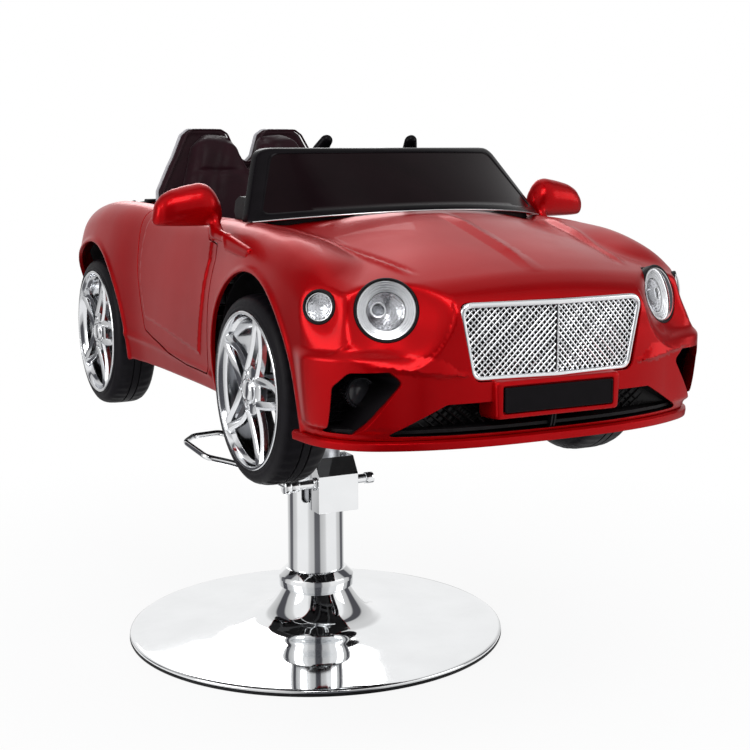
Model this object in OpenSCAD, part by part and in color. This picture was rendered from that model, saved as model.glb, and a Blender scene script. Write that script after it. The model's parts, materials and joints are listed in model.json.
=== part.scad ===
// Salon chair for children: a small open car on a hydraulic barber-chair pedestal.
// The origin is on the floor under the column's axis. The car's nose points to -Y, +X is the rider's left.
// Sizes are in millimetres.

/* [Floor plate] */
// Diameter of floor plate
base_d = 600; // [540:10:680]
// Thickness of steel floor plate
base_plate_t = 6; // [5:1:8]
// Thickness of pressed chrome cover
cover_t = 2; // [1.5:0.5:2.5]
// Height of cover's rim above floor
cover_rim_h = 10; // [9:1:13]
// Height of top of the cover's bell
bell_h = 75; // [65:1:85]
// Width of rubber edge
edge_w = 9; // [7:1:12]

/* [Column] */
// Outer diameter of the chrome column tube
column_d = 90; // [84:1:96]
// Wall of the column tube
column_wall = 3; // [2:0.5:4]
// Height of top of the column tube
column_top = 262; // [250:1:268]
// Outer diameter of the bevelled collar
collar_d = 120; // [112:1:130]
// Height of collar
collar_h = 30; // [24:1:34]
// Width of slot in the column
slot_w = 14; // [8:1:16]
// Length of the slot in the column
slot_l = 30; // [20:1:34]

/* [Pump] */
// Outer diameter of the moving pump cylinder
pump_d = 76; // [70:1:76]
// Bore of the moving pump cylinder
pump_bore_d = 52; // [44:1:56]
// Diameter of fixed piston rod
rod_d = 22; // [18:1:26]
// Diameter of swivel spindle
spindle_d = 34; // [28:1:38]
// Width of chrome lever housing
housing_w = 68; // [60:1:72]
// Depth of the lever housing in front of the column's axis
housing_reach = 74; // [72:1:80]
// Diameter of lever shaft
lever_d = 18; // [14:1:20]
// Diameter of foot lever's rod
lever_rod_d = 9; // [8:0.5:11]

/* [Body] */
// Length of the car body
body_len = 1150; // [1100:10:1200]
// Distance from the column's axis forward to the nose
nose_reach = 672; // [650:1:690]
// Half of the body's greatest width
half_w = 278; // [272:1:286]
// Height of body's lower edge above floor
sill_z = 445; // [440:1:450]
// Height of body above its lower edge
body_h = 253; // [246:1:260]
// Wall of the body's moulded shell
shell_t = 4; // [3:0.5:5]
// Gap round the doors
door_gap = 3; // [2.5:0.5:4]
// Half width of the cockpit opening
cockpit_half_w = 205; // [195:1:210]
// Wall of the black cockpit tub
tub_t = 3; // [2.5:0.5:4]

/* [Wheels] */
// Outer diameter of the tyres
tyre_d = 243; // [236:1:248]
// Width of tyres
tyre_w = 72; // [64:1:76]
// Diameter of rim's visible lip
rim_d = 202; // [194:1:206]
// Height of wheel centres above floor
axle_z = 470; // [466:1:474]
// Distance from the nose back to the front wheels' centres
nose_overhang = 296; // [292:1:302]
// Distance from the rear wheels' centres back to the tail
tail_overhang = 192; // [186:1:196]
// Distance from the centre plane to the wheels' outer faces
wheel_face = 270; // [266:1:274]
// Radius of the wheel arches
arch_r = 147; // [144:1:150]
// Diameter of wheel spindles
stub_d = 12; // [10:1:14]

/* [Front] */
// Half width of the grille at its top
grille_top_half = 128; // [120:1:132]
// Half width of the grille at its bottom
grille_low_half = 110; // [104:1:114]
// Height of grille's opening
grille_h = 90; // [84:1:94]
// Width of grille's chrome frame
grille_rim = 6; // [4:1:8]
// Spacing of the lattice bars, measured square to the bars
lattice_pitch = 7.5; // [7:0.5:12]
// Width of one lattice bar
lattice_bar = 2.1; // [1.8:0.1:3]
// Diameter of headlamps over their chrome rings
headlamp_d = 74; // [68:1:78]
// Diameter of outer marker lamps
marker_d = 40; // [36:1:44]
// Width of bare plate
plate_w = 150; // [130:1:156]
// Height of bare plate
plate_h = 29; // [24:1:32]

/* [Cockpit] */
// Height of windscreen's top edge above floor
screen_top_z = 772; // [762:1:780]
// Width of windscreen's black frame
screen_frame_w = 16; // [12:1:20]
// Thickness of windscreen's pane
pane_t = 4; // [3:0.5:5]
// Height of top of the seat back above floor
seat_top_z = 805; // [790:1:815]
// Half width of the seat
seat_half_w = 172; // [165:1:176]
// Thickness of seat cushion
cushion_t = 46; // [38:1:52]
// Thickness of seat back pad
back_pad_t = 34; // [28:1:38]
// Spacing of the steering grips
grip_span = 150; // [136:2:156]
// Diameter of steering shaft
steer_d = 16; // [14:1:20]

/* [Hidden] */
$fn = 48;

chrome = "#d8dadd";
paint = "#a30d12";
black = "#151417";
grey = "#b9b9bd";
steel = "#8a8d92";
leather = "#2a1317";

// Clearances and one overrun for every cut
run_gap = 0.05;
run_d = 2 * run_gap;
seat_gap = 0.3;
over = 1;
over_d = 2 * over;
bolt_d = 8;

// Smooth curve through a table of [place, value] knots
function knot_slope(t, i) =
  let (n = len(t) - 1)
  i == 0 ? (t[1][1] - t[0][1]) / (t[1][0] - t[0][0]) :
  i == n ? (t[n][1] - t[n - 1][1]) / (t[n][0] - t[n - 1][0]) :
  let (a = t[i][0] - t[i - 1][0], b = t[i + 1][0] - t[i][0])
  ((t[i][1] - t[i - 1][1]) / a * b + (t[i + 1][1] - t[i][1]) / b * a) / (a + b);
function curve(t) = [for (i = [0:len(t) - 1]) [t[i][0], t[i][1], knot_slope(t, i)]];
function stretch_of(c, v, i = 0) = (i >= len(c) - 2 || v < c[i + 1][0]) ? i : stretch_of(c, v, i + 1);
function along(c, place) =
  let (v = min(max(place, c[0][0]), c[len(c) - 1][0]), i = stretch_of(c, v))
  let (h = c[i + 1][0] - c[i][0], s = (v - c[i][0]) / h, s2 = s * s, s3 = s2 * s)
  (2 * s3 - 3 * s2 + 1) * c[i][1] + (s3 - 2 * s2 + s) * h * c[i][2]
  + (3 * s2 - 2 * s3) * c[i + 1][1] + (s3 - s2) * h * c[i + 1][2];

// Larger of two values, blended over the width k
function blend_max(a, b, k) =
  let (h = min(max(0.5 + 0.5 * (a - b) / k, 0), 1)) a * h + b * (1 - h) + k * h * (1 - h);
function clamp01(v) = min(max(v, 0), 1);

// The car's outer form. Places along the body are shares of its length,
// heights are shares of its height above the sill, and widths are shares of its half width.
nose_y = -nose_reach;
function body_y(share) = nose_y + body_len * share;
function body_z(share) = sill_z + body_h * share;
plan_share = curve([[-0.01, 0.95], [0.10, 0.975], [0.185, 0.995], [0.26, 0.99], [0.375, 0.95], [0.515,
  0.942], [0.635, 0.95], [0.76, 1], [0.835, 1.005], [0.915, 0.97], [1, 0.85]]);
ridge_share = curve([[-0.015, 0.597], [0, 0.648], [0.033, 0.711], [0.063, 0.759], [0.136, 0.854], [0.237,
  0.96], [0.297, 0.992], [0.41, 1], [0.584, 0.996], [0.758, 1], [0.871, 0.984], [0.95, 0.913], [1, 0.83]]);
fall_share = curve([[-0.007, 0.055], [0.097, 0.079], [0.237, 0.119], [0.323, 0.103], [1, 0.063]]);
fender_share = curve([[-0.015, 0.296], [0.037, 0.541], [0.071, 0.636], [0.097, 0.708], [0.123, 0.775],
  [0.158, 0.83], [0.193, 0.866], [0.237, 0.889], [0.297, 0.913], [0.41, 0.925], [0.532, 0.929], [0.637,
    0.937], [0.741, 0.96], [0.828, 0.953], [0.897, 0.905], [0.958, 0.81], [1, 0.7]]);
crown_share = curve([[-0.007, 0.773], [0.097, 0.799], [0.237, 0.835], [0.367, 0.849], [0.671, 0.849],
  [0.845, 0.835], [1, 0.719]]);
nose_back_share = curve([[-0.178, 0.126], [-0.06, 0.063], [0.02, 0.032], [0.217, 0.004], [0.455, 0.004],
  [0.613, 0.016], [0.711, 0.067], [1.008, 0.285]]);
tail_back_share = curve([[-0.178, 0.15], [0, 0.09], [0.296, 0.016], [0.613, 0], [0.85, 0.032], [1.008,
  0.11]]);
waist_z = body_z(0.455);
belt_z = body_z(0.93);
sill_tuck = 10;
belt_tuck = 30;
nose_sweep = 58;
tail_sweep = 40;
fender_drop = 12;
fender_half = 62;
spine_h = 5;
spine_half = 15;
spine_run = 60;
spine_start = body_y(0.041);
spine_end = body_y(0.241);
nose_blend = 50;
tail_blend = 80;
crown_blend = 34;
crease_blend = 7;

function side_at(y, z) =
  let (low = max((waist_z - z) / (waist_z - sill_z), 0), high = max((z - waist_z) / (belt_z - waist_z), 0))
  half_w * along(plan_share, (y - nose_y) / body_len) - sill_tuck * low * low - belt_tuck * high * high;
function hood_at(x, y) =
  let (u = (y - nose_y) / body_len, f = x / (half_w * 0.683))
  let (rise = clamp01(min((y - spine_start) / spine_run, (spine_end - y) / spine_run)))
  body_z(along(ridge_share, u)) - body_h * along(fall_share, u) * f * f
  + spine_h * rise * clamp01(1 - x / spine_half);
function fender_at(x, y) =
  let (u = (y - nose_y) / body_len, f = (x - half_w * along(crown_share, u)) / fender_half)
  body_z(along(fender_share, u)) - fender_drop * f * f;
function top_at(x, y) = blend_max(hood_at(x, y), fender_at(x, y), crease_blend);
function front_at(x, z) =
  nose_y + body_h * along(nose_back_share, (z - sill_z) / body_h) + nose_sweep * pow(x / (half_w * 0.9), 3);
function back_at(x, z) =
  nose_y + body_len - body_h * along(tail_back_share, (z - sill_z) / body_h)
  - tail_sweep * pow(x / (half_w * 0.863), 2.6);
function skin(p) =
  let (x = abs(p[0]), y = p[1], z = p[2])
  let (side = x - side_at(y, z), front = front_at(x, z) - y, back = y - back_at(x, z), top = z - top_at(x, y))
  blend_max(blend_max(blend_max(side, front, nose_blend), back, tail_blend), top, crown_blend);

// Distance along a ray from o in direction d to the skin, or to inset below it
function meet(o, d, inset, a, b, fa, fb, n) =
  let (m = n % 2 == 0 ? (a + b) / 2 : a + (b - a) * fa / (fa - fb), fm = skin(o + d * m) + inset)
  n == 0 ? m : fm < 0 ? meet(o, d, inset, m, b, fm, fb, n - 1) : meet(o, d, inset, a, m, fa, fm, n - 1);
function reach(o, d, inset) =
  meet(o, d, inset, 0, half_w * 1.6, skin(o) + inset, skin(o + d * half_w * 1.6) + inset, 14);
// Half width of the space inside a wall of the given thickness
function inner_x(y, z, inset) = reach([0, y, z], [1, 0, 0], inset);

// Grid of rays: columns run round the body in plan, rows climb from the sill to the ridge
spine_front = body_y(0.15);
spine_back = body_y(0.83);
nose_cols = 9;
side_cols = 20;
tail_cols = 7;
half_cols = nose_cols + side_cols + tail_cols;
all_cols = 2 * half_cols;
rows = 14;
function half_col(c) = c <= half_cols ? c : all_cols - c;
function col_y(c) =
  spine_front + (spine_back - spine_front) * clamp01((half_col(c) - nose_cols) / side_cols);
function col_turn(c) =
  let (h = half_col(c))
  h <= nose_cols ? 90 * h / nose_cols : h <= nose_cols + side_cols ? 90
    : 90 + 90 * (h - nose_cols - side_cols) / tail_cols;
function ray(c, r) =
  let (a = col_turn(c), v = 90 * r / rows, s = c <= half_cols ? 1 : -1)
  [s * sin(a) * cos(v), -cos(a) * cos(v), sin(v)];
function hub(c) = [0, col_y(c), sill_z];
function skin_point(c, r, inset) = let (d = ray(c, r)) hub(c) + d * reach(hub(c), d, inset);
function half_points(inset) = [for (c = [0:half_cols]) [for (r = [0:rows - 1]) skin_point(c, r, inset)]];
function mirror_x(p) = [-p[0], p[1], p[2]];

// Closed dome inside the skin, with its flat bottom lowered by drop
module skin_dome(inset, drop) {
  half = half_points(inset);
  low = [for (c = [0:all_cols - 1])
    let (p = c <= half_cols ? half[c][0] : mirror_x(half[all_cols - c][0])) [p[0], p[1], p[2] - drop]];
  wall = [for (c = [0:all_cols - 1]) for (r = [0:rows - 1])
    c <= half_cols ? half[c][r] : mirror_x(half[all_cols - c][r])];
  ridge = [for (k = [0:side_cols]) skin_point(nose_cols + k, rows, inset)];
  n = all_cols;
  extra = drop > 0 ? n : 0;
  function at(c, r) = extra + (c % n) * rows + r;
  function top(c) = extra + n * rows + min(max(half_col(c % n) - nose_cols, 0), side_cols);
  faces = concat(
    [[for (c = [0:n - 1]) drop > 0 ? c : at(c, 0)]],
    drop > 0 ? [for (c = [0:n - 1]) each [[c, at(c, 0), at(c + 1, 0)], [c, at(c + 1, 0),
      (c + 1) % n]]] : [], [for (c = [0:n - 1]) for (r = [0:rows - 2])
      each [[at(c, r), at(c, r + 1), at(c + 1, r + 1)], [at(c, r), at(c + 1, r + 1), at(c + 1, r)]]],
    [for (c = [0:n - 1]) [at(c, rows - 1), top(c), at(c + 1, rows - 1)]],
    [for (c = [0:n - 1]) if (top(c) != top(c + 1)) [at(c + 1, rows - 1), top(c), top(c + 1)]]
  );
  polyhedron(concat(drop > 0 ? low : [], wall, ridge), faces, convexity = 8);
}

// Part of the wall between two columns and two rows of rays on the left side
module skin_patch(c0, c1, r0, r1, t) {
  nr = r1 - r0 + 1;
  nc = c1 - c0 + 1;
  outer = [for (c = [c0:c1]) for (r = [r0:r1]) skin_point(c, r, 0)];
  inner = [for (c = [c0:c1]) for (r = [r0:r1]) skin_point(c, r, t)];
  m = nr * nc;
  function at(c, r) = c * nr + r;
  polyhedron(concat(outer, inner), concat(
    [for (c = [0:nc - 2]) for (r = [0:nr - 2]) each [
      [at(c, r), at(c, r + 1), at(c + 1, r + 1)], [at(c, r), at(c + 1, r + 1), at(c + 1, r)],
      [m + at(c, r), m + at(c + 1, r + 1), m + at(c, r + 1)],
      [m + at(c, r), m + at(c + 1, r), m + at(c + 1, r + 1)]]], [for (c = [0:nc - 2]) each [
      [at(c, 0), at(c + 1, 0), m + at(c + 1, 0)], [at(c, 0), m + at(c + 1, 0), m + at(c, 0)],
      [at(c + 1, nr - 1), at(c, nr - 1), m + at(c, nr - 1)],
      [at(c + 1, nr - 1), m + at(c, nr - 1), m + at(c + 1, nr - 1)]]], [for (r = [0:nr - 2]) each [
      [at(0, r + 1), at(0, r), m + at(0, r)], [at(0, r + 1), m + at(0, r), m + at(0, r + 1)],
      [at(nc - 1, r), at(nc - 1, r + 1), m + at(nc - 1, r + 1)],
      [at(nc - 1, r), m + at(nc - 1, r + 1), m + at(nc - 1, r)]]]
  ), convexity = 6);
}

// Outline points from shares of the body's length, half width and height
function side_outline(shares) = [for (s = shares) [body_y(s[0]), body_z(s[1])]];
function face_outline(shares) = [for (s = shares) [half_w * s[0], body_z(s[1])]];
// Prism along X from an outline in Y and Z, and prism along Y from an outline in X and Z
module along_x(x0, x1) { translate([x0, 0, 0]) rotate([90, 0, 90]) linear_extrude(x1 - x0) children(); }
module along_y(y0, y1) { translate([0, y1, 0]) to_y() linear_extrude(y1 - y0) children(); }
module up(z) { translate([0, 0, z]) children(); }
module to_y() { rotate([90, 0, 0]) children(); }
module to_x() { rotate([0, 90, 0]) children(); }
module both_sides() { children(); mirror([1, 0, 0]) children(); }
// Rectangle with round corners, centred
module round_rect(w, h, r) {
  square([w - 2 * r, h], center = true);
  square([w, h - 2 * r], center = true);
  for (x = [-1, 1], y = [-1, 1]) translate([x * (w / 2 - r), y * (h / 2 - r)]) circle(r);
}

base_r = base_d / 2;
cover_r = base_r - edge_w + cover_t;
tube_r = column_d / 2;
bell_share = curve([[0, 1], [0.05, 0.68], [0.11, 0.38], [0.21, 0.19], [0.36, 0.11], [0.66, 0.045], [1, 0]]);
bell_lap = 7;
bell_r = tube_r + bell_lap;
bell_steps = 26;
function bell_z(k) = cover_rim_h + (bell_h - cover_rim_h) * along(bell_share, k / bell_steps);
function bell_x(k) = bell_r + (cover_r - bell_r) * k / bell_steps;
boss_h = 40;

rod_seat = 24;
module base_plate() color(steel) difference() {
  union() {
    cylinder(r = base_r - edge_w - seat_gap, h = base_plate_t, $fn = 96);
    cylinder(r = tube_r - column_wall - run_gap, h = boss_h);
    cylinder(r = tube_r + column_wall, h = base_plate_t * 2);
  }
  up(base_plate_t) difference() {
    cylinder(r = tube_r + run_gap, h = boss_h);
    up(-over) cylinder(r = tube_r - column_wall - run_gap, h = boss_h + over_d);
  }
  up(boss_h - rod_seat) cylinder(d = rod_d, h = rod_seat + over);
}

module base_cover() color(chrome) rotate_extrude($fn = 96) polygon(concat(
  [for (k = [0:bell_steps]) [bell_x(k), bell_z(k)]],
  [[cover_r, cover_rim_h - cover_t], [cover_r - cover_t, cover_rim_h - cover_t]],
  [for (k = [bell_steps - 1:-1:0]) [bell_x(k) - cover_t * (1 - k / bell_steps), bell_z(k) - cover_t]]
));

module rubber_edge() color(black) rotate_extrude($fn = 96) polygon([
  [base_r - edge_w, 0], [base_r - cover_t, 0], [base_r, cover_t], [base_r, cover_rim_h - cover_t * 1.5],
  [base_r - cover_t, cover_rim_h - seat_gap], [cover_r + seat_gap, cover_rim_h - seat_gap],
  [cover_r + seat_gap, cover_rim_h - cover_t - seat_gap], [base_r - edge_w,
    cover_rim_h - cover_t - seat_gap], ]);

collar_bevel = 12;
module collar_ring() color(chrome) rotate_extrude() polygon([
  [tube_r + run_gap, bell_h], [collar_d / 2 - cover_t, bell_h], [collar_d / 2, bell_h + cover_t],
  [collar_d / 2, bell_h + collar_h - collar_bevel],
  [collar_d / 2 - collar_bevel, bell_h + collar_h], [tube_r + run_gap, bell_h + collar_h], ]);

// Column: the slot faces the front right
slot_turn = 225;
slot_drop = 13;
slot_top = column_top - slot_drop;
module column_tube() color(chrome) {
  tube_z = base_plate_t;
  difference() {
    up(tube_z) cylinder(r = tube_r, h = column_top - tube_z);
    up(tube_z - over) cylinder(r = tube_r - column_wall, h = column_top - tube_z + over_d);
    rotate([0, 0, slot_turn]) translate([tube_r / 2, 0, 0]) {
      for (z = [slot_top - slot_w / 2, slot_top - slot_l + slot_w / 2])
        up(z) to_x() cylinder(d = slot_w, h = tube_r);
      translate([0, -slot_w / 2, slot_top - slot_l + slot_w / 2]) cube([tube_r, slot_w, slot_l - slot_w]);
    }
  }
  // Nylon guide that the pump cylinder slides in
  guide_h = 40;
  guide_z = slot_top - slot_l - guide_h - collar_bevel;
  up(guide_z) difference() {
    cylinder(r = tube_r - column_wall, h = guide_h);
    up(-over) cylinder(r = pump_d / 2 + run_gap, h = guide_h + over_d);
  }
}

// Pump: the cylinder slides up over a fixed rod and piston
pump_lift = 6;
pump_foot = boss_h + pump_lift;
pump_top = column_top + pump_lift;
pump_cap = 14;
piston_h = 20;
piston_gap = 8;
piston_z = pump_top - pump_cap - piston_h - piston_gap;
module piston_rod() color(steel) {
  up(boss_h - rod_seat) cylinder(d = rod_d, h = piston_z - boss_h + rod_seat);
  up(piston_z) cylinder(d = pump_bore_d - run_d, h = piston_h);
}
module pump_cylinder() color(steel) difference() {
  up(pump_foot) cylinder(d = pump_d, h = pump_top - pump_foot);
  up(pump_foot + pump_cap) cylinder(d = pump_bore_d, h = pump_top - pump_foot - 2 * pump_cap);
  up(pump_foot - over) cylinder(d = rod_d + run_d, h = pump_cap + over_d);
}

// Pump head above the column, with the spindle that the car turns on
head_h = 58;
head_step = 5;
head_r = tube_r - head_step;
shoulder_z = pump_top + head_h;
spindle_h = 82;
module pump_head() color(steel) {
  up(pump_top) cylinder(r = head_r, h = head_h);
  up(shoulder_z) cylinder(d = spindle_d, h = spindle_h);
}

// Lever housing that hangs from the head in front of the column
housing_x = -28;
housing_low = 210;
housing_front_top = 268;
housing_slope = 26;
housing_back = 26;
lever_in = 16;
lever_y = -housing_reach + lever_in;
lever_z = 255;
module pump_cover() color(chrome) difference() {
  translate([housing_x, 0, 0]) rotate([90, 0, 90]) linear_extrude(housing_w) polygon([
    [-housing_back, housing_low], [-housing_reach, housing_low], [-housing_reach, housing_front_top],
    [-housing_reach + housing_slope * 0.65, housing_front_top + housing_slope],
    [-housing_back, housing_front_top + housing_slope], ]);
  up(housing_low - over) cylinder(r = tube_r + run_gap * 10, h = column_top - housing_low + over);
  up(column_top - over) cylinder(r = head_r + run_gap, h = head_h);
  translate([housing_x - over, lever_y, lever_z]) to_x()
    cylinder(d = lever_d * 0.8 + run_d, h = housing_w + over_d);
}
shaft_left = -70;
shaft_right = 73;
module lever_shaft() color(chrome) translate([0, lever_y, lever_z]) to_x() {
  up(shaft_left) cylinder(d = lever_d * 0.8, h = shaft_right - shaft_left);
  end_l = lever_d * 0.8;
  for (x = [shaft_left, shaft_right - end_l]) up(x) cylinder(d = lever_d, h = end_l);
  ring_gap = lever_d / 6;
  up(housing_x + housing_w + seat_gap) cylinder(d = lever_d * 1.15, h = ring_gap);
  up(housing_x - seat_gap - ring_gap) cylinder(d = lever_d * 1.15, h = ring_gap);
}

// Foot lever: one bent rod that ends in a loop
loop_out = 205;
loop_y = 40;
loop_rise = 61;
lever_path = [
  [shaft_left - lever_rod_d / 2, lever_y, lever_z], [-loop_out * 0.56, lever_y, lever_z + loop_rise * 0.43],
  [-loop_out * 0.8, lever_y, lever_z + loop_rise * 0.79], [-loop_out, lever_y, lever_z + loop_rise],
  [-loop_out - lever_rod_d, loop_y * 0.25, lever_z + loop_rise * 1.19],
  [-loop_out * 0.93, loop_y, lever_z + loop_rise * 1.21],
  [-loop_out * 0.7, loop_y, lever_z + loop_rise * 1.24],
  [-loop_out * 0.45, loop_y * 0.1, lever_z + loop_rise * 0.8],
  [shaft_left - lever_rod_d / 2, lever_y + lever_rod_d * 0.5, lever_z + lever_rod_d * 0.5], ];
// Path with its corners rounded, and a round bar swept along it
function unit(v) = v / norm(v);
function rounded(path, r, n) = [path[0], for (i = [1:len(path) - 2])
  let (p = path[i], a = p + unit(path[i - 1] - p) * r, b = p + unit(path[i + 1] - p) * r)
  each [for (k = [0:n]) let (t = k / n) (1 - t) * (1 - t) * a + 2 * t * (1 - t) * p + t * t * b],
  path[len(path) - 1]];
module sweep(path, d, sides) {
  n = len(path) - 1;
  function at(k, j) = k * sides + j % sides;
  function heading(k) = unit(path[min(k + 1, n)] - path[max(k - 1, 0)]);
  points = [for (k = [0:n]) let (t = heading(k), side = unit(cross(t, [0, 0, 1])), rise = cross(side, t),
    r = (is_list(d) ? d[k] : d) / 2)
    for (j = [0:sides - 1]) let (a = 360 * j / sides) path[k] + r * (cos(a) * side + sin(a) * rise)];
  polyhedron(points, concat([[for (j = [sides - 1:-1:0]) j]], [[for (j = [0:sides - 1]) at(n, j)]],
    [for (k = [0:n - 1]) for (j = [0:sides - 1]) each
      [[at(k, j), at(k, j + 1), at(k + 1, j + 1)], [at(k, j), at(k + 1, j + 1), at(k + 1, j)]]]),
        convexity = 6);
}
module foot_lever() color(chrome) {
  sweep(rounded(lever_path, lever_rod_d * 1.1, 3), lever_rod_d, 12);
  translate([shaft_left - lever_rod_d * 1.2, lever_y, lever_z]) to_x()
    cylinder(d = lever_d * 1.2, h = lever_rod_d * 1.2);
}

// Swivel socket with the mounting plate that carries the frame
bearing_h = 8;
plate_side = 200;
mount_t = 8;
frame_h = 25;
frame_rise = 8;
frame_z = sill_z - frame_h + frame_rise;
pan_z = frame_z + frame_h;
pan_t = 4;
socket_r = 30;
mount_z = frame_z - mount_t;
rib_t = 5;
bolt_inset = 30;
bolt_span = plate_side - 2 * bolt_inset;
module swivel_socket() color(steel) difference() {
  union() {
    up(shoulder_z + bearing_h) cylinder(r = socket_r, h = mount_z - shoulder_z - bearing_h);
    up(mount_z + mount_t / 2) cube([plate_side, plate_side, mount_t], center = true);
    for (a = [0:90:270]) rotate([0, 0, a + 45]) translate([0, rib_t / 2, mount_z]) to_y()
      linear_extrude(rib_t) polygon([[0, -socket_r * 1.2], [socket_r * 3, 0], [0, 0]]);
  }
  up(shoulder_z) cylinder(d = spindle_d + run_d, h = mount_z - shoulder_z + mount_t + over);
  at_bolts() up(mount_z - over) cylinder(d = bolt_d + seat_gap, h = mount_t + over_d);
}
module thrust_bearing() color(steel) up(shoulder_z) difference() {
  union() {
    cylinder(r = socket_r, h = bearing_h * 0.35);
    up(bearing_h * 0.65) cylinder(r = socket_r, h = bearing_h * 0.35);
    up(bearing_h * 0.3) cylinder(r = socket_r * 0.85, h = bearing_h * 0.4);
  }
  up(-over) cylinder(d = spindle_d + run_d, h = bearing_h + over_d);
}
module at_bolts() for (x = [-1, 1], y = [-1, 1]) translate([x * bolt_span / 2, y * bolt_span / 2,
  0]) children();
module mount_bolts() color(steel) at_bolts() {
  for (z = [mount_z - bolt_d * 0.7, frame_z + rail_t]) up(z)
    cylinder(d = bolt_d * 1.8, h = bolt_d * 0.7, $fn = 6);
  up(mount_z - run_gap) cylinder(d = bolt_d, h = mount_t + bolt_d * 1.2);
}

// Frame: two rails, two cross members and brackets for the steering
rail_x = 70;
rail_t = 2;
front_y = nose_y + nose_overhang;
rear_y = nose_y + body_len - tail_overhang;
arch_shift = 10;
arch_rise = 4;
arch_z = axle_z + arch_rise;
arch_ys = [front_y - arch_shift, rear_y - arch_shift];
well_x = 150;
liner_t = 3;
liner_gap = 1.5;
liner_w = 106;
liner_hole = 14;
cross_half = well_x - liner_t - seat_gap;
king_x = 172;
king_d = 12;
ear_t = 5;
ear_w = 34;
ear_low = axle_z - ear_w;
ear_high = axle_z + ear_w;
rail_in = rail_x - frame_h / 2 + rail_t;
rail_out = rail_x + frame_h / 2 - rail_t;
rail_front = front_y - frame_h;
rail_back = rear_y + frame_h * 1.5;
module rail_tube(x0, x1, y0, y1) difference() {
  translate([x0, y0, frame_z]) cube([x1 - x0, y1 - y0, frame_h]);
  if (x1 - x0 > y1 - y0) translate([x0 - over, y0 + rail_t, frame_z + rail_t])
    cube([x1 - x0 + over_d, y1 - y0 - 2 * rail_t, frame_h - 2 * rail_t]);
  else translate([x0 + rail_t, y0 - over, frame_z + rail_t])
    cube([x1 - x0 - 2 * rail_t, y1 - y0 + over_d, frame_h - 2 * rail_t]);
}
module king_bracket() difference() {
  union() {
    for (z = [ear_low - ear_t, ear_high]) translate([cross_half - frame_h, front_y - ear_w / 2, z])
      cube([king_x + king_d - cross_half + frame_h, ear_w, ear_t]);
    translate([cross_half - frame_h, front_y - ear_w / 2, ear_low - ear_t])
      cube([ear_t, ear_w, ear_high - ear_low + 2 * ear_t]);
  }
  translate([king_x, front_y, ear_low - ear_t - over])
    cylinder(d = king_d + run_d, h = ear_high - ear_low + 2 * ear_t + over_d);
}
module chassis_frame() color(steel) {
  difference() {
    both_sides() rail_tube(rail_x - frame_h / 2, rail_x + frame_h / 2, rail_front, rail_back);
    at_bolts() up(frame_z - over) cylinder(d = bolt_d + seat_gap, h = rail_t + over_d);
  }
  for (y = [front_y, rear_y])
    rail_tube(-rail_in, rail_in, y - frame_h / 2, y + frame_h / 2);
  both_sides() {
    rail_tube(rail_out, cross_half - frame_h + ear_t, front_y - frame_h / 2, front_y + frame_h / 2);
    rail_tube(rail_out, cross_half, rear_y - frame_h / 2, rear_y + frame_h / 2);
    king_bracket();
    // Ear that holds the rear axle
    translate([cross_half - ear_t, 0, 0]) difference() {
      translate([0, rear_y - ear_w / 2, frame_z + frame_h / 2]) cube([ear_t, ear_w, axle_z - frame_z]);
      translate([-over, rear_y, axle_z]) to_x() cylinder(d = stub_d, h = ear_t + over_d);
    }
  }
  // Post with the lower bearing of the steering shaft
  difference() {
    union() {
      translate([0, post_y, post_z]) rotate([-steer_tilt, 0, 0])
        cylinder(r = steer_d, h = ear_w, center = true);
      for (x = [-1, 1]) translate([x * steer_d - ear_t / 2, post_y - post_w / 2, frame_z])
        cube([ear_t, post_w, post_z - frame_z]);
      rail_tube(-rail_in, rail_in, post_y - post_w / 2, post_y + post_w / 2);
    }
    translate([0, post_y, post_z]) rotate([-steer_tilt, 0, 0])
      cylinder(d = steer_d + run_d, h = ear_w * 2, center = true);
  }
}

// Pan that closes the car's underside inside the sill
pan_gap = 1.2;
pan_outline = [for (c = [0:all_cols - 1]) let (h = half_col(c), p = skin_point(h, 0, shell_t + pan_gap),
  q = skin_point(h, 1, shell_t + pan_gap), e = p + (q - p) * (pan_z - sill_z) / (q[2] - sill_z))
  [c <= half_cols ? e[0] : -e[0], e[1]]];
module wheel_well(y, r) both_sides() translate([well_x - liner_t - liner_gap, y, arch_z]) to_x()
  cylinder(r = r, h = half_w);
module floor_pan() color(black) difference() {
  up(pan_z) linear_extrude(pan_t) polygon(pan_outline);
  for (y = arch_ys) wheel_well(y, arch_r + liner_gap + liner_t + seat_gap);
  both_sides() for (y = [front_y, rear_y])
    translate([cross_half - frame_h - seat_gap, y - ear_w / 2 - seat_gap, pan_z - over])
      cube([frame_h * 2, ear_w + 2 * seat_gap, pan_t + over_d]);
  translate([-steer_d - ear_t, post_y - post_w / 2 - seat_gap, pan_z - over])
    cube([2 * steer_d + 2 * ear_t, post_w + 2 * seat_gap, pan_t + over_d]);
}

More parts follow.
